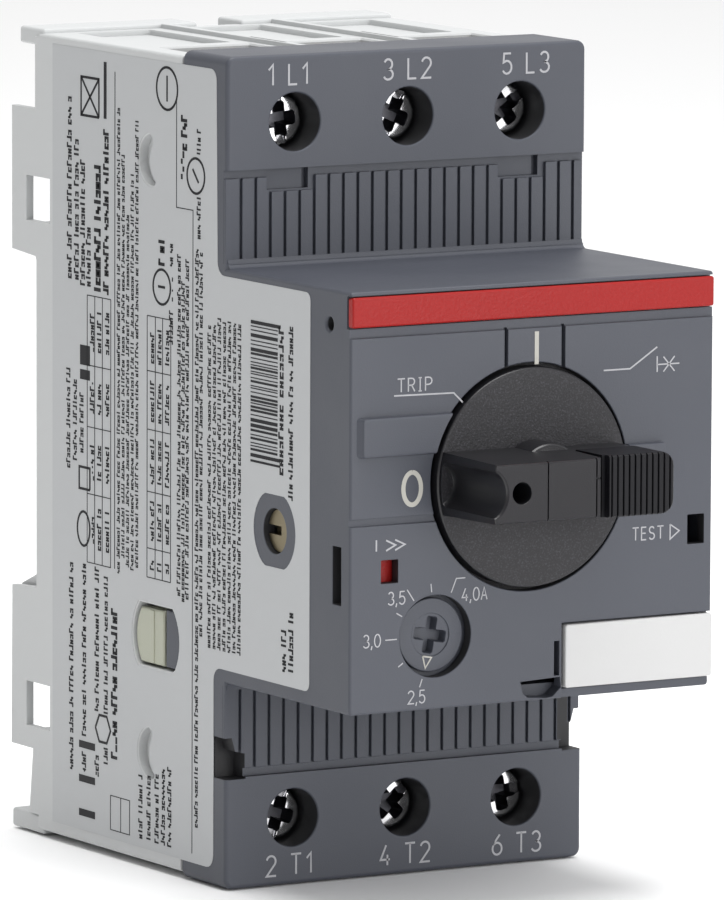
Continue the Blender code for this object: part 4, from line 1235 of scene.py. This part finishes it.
# ---- studio


def make_floor():
    """A pale floor under the object."""
    ground = -HALF_HEIGHT - 0.15
    bm = bmesh.new()
    bmesh.ops.create_grid(bm, x_segments=1, y_segments=1, size=6.0)
    bmesh.ops.translate(bm, vec=(0, 0, ground * MM), verts=bm.verts)
    floor = shape(bm, "floor")
    floor.data.materials.append(moulded("floor", (0.96, 0.96, 0.96), 0.8, 3.0, 0.02, 0.0))


def make_world():
    """White light from all around, weaker from the left."""
    world = bpy.data.worlds.new("studio")
    world.use_nodes = True
    tree = world.node_tree
    parts = shader_node(tree, "SeparateXYZ")
    tree.links.new(shader_node(tree, "TexCoord").outputs["Generated"], parts.inputs["Vector"])
    level = spread(tree, parts.outputs["X"], (-1.0, 0.3), (0.38, 1.0))
    background = tree.nodes["Background"]
    tree.links.new(level, background.inputs["Strength"])
    background.inputs["Color"].default_value = (1, 1, 1, 1)
    bpy.context.scene.world = world


def direction(azimuth, elevation):
    """The way out from the object, from two angles in degrees."""
    a, e = math.radians(azimuth), math.radians(elevation)
    return Vector((math.sin(a) * math.cos(e), -math.cos(a) * math.cos(e), math.sin(e)))


def softbox(name, azimuth, elevation, distance, size, power):
    """A square light that looks at the object from a direction."""
    back = direction(azimuth, elevation)
    data = bpy.data.lights.new(name, "AREA")
    data.size = size
    data.energy = power
    light = bpy.data.objects.new(name, data)
    light.location = back * distance
    light.rotation_euler = back.to_track_quat("Z", "Y").to_euler()
    bpy.context.scene.collection.objects.link(light)


def make_camera():
    """The camera, from the left and a little above."""
    azimuth, elevation, roll = -30.59, 7.30, math.radians(0.226)
    aim = Vector((-5.63, 0.0, 1.78))
    distance = 1076.3
    back = direction(azimuth, elevation)
    right = direction(azimuth + 90, 0)
    up = back.cross(right)
    axes = (right * math.cos(roll) + up * math.sin(roll), up * math.cos(roll) - right * math.sin(roll), back)
    data = bpy.data.cameras.new("camera")
    data.lens = 399.0
    data.clip_end = 20
    camera = bpy.data.objects.new("camera", data)
    where = Matrix.Translation(place(*(aim + back * distance)))
    camera.matrix_world = where @ Matrix(axes).transposed().to_4x4()
    bpy.context.scene.collection.objects.link(camera)
    bpy.context.scene.camera = camera


bpy.context.scene.view_settings.view_transform = "Standard"
make_cover()
make_housing()
make_label()
make_label_print()
make_trims()
make_front_marks()
make_knob()
make_grip()
make_dial()
make_indicator_and_test()
for row_name in SIDES:
    for screw_number in NUMBERS:
        make_screw(row_name, screw_number)
make_trip_pad()
make_latch()
dress_cad_nodes()
make_floor()
make_world()
softbox("key", 30, 20, 0.9, 0.5, 0.5)
softbox("top", 0, 80, 0.9, 0.6, 7.5)
softbox("fill", 12, 4, 0.9, 0.5, 3.0)
make_camera()
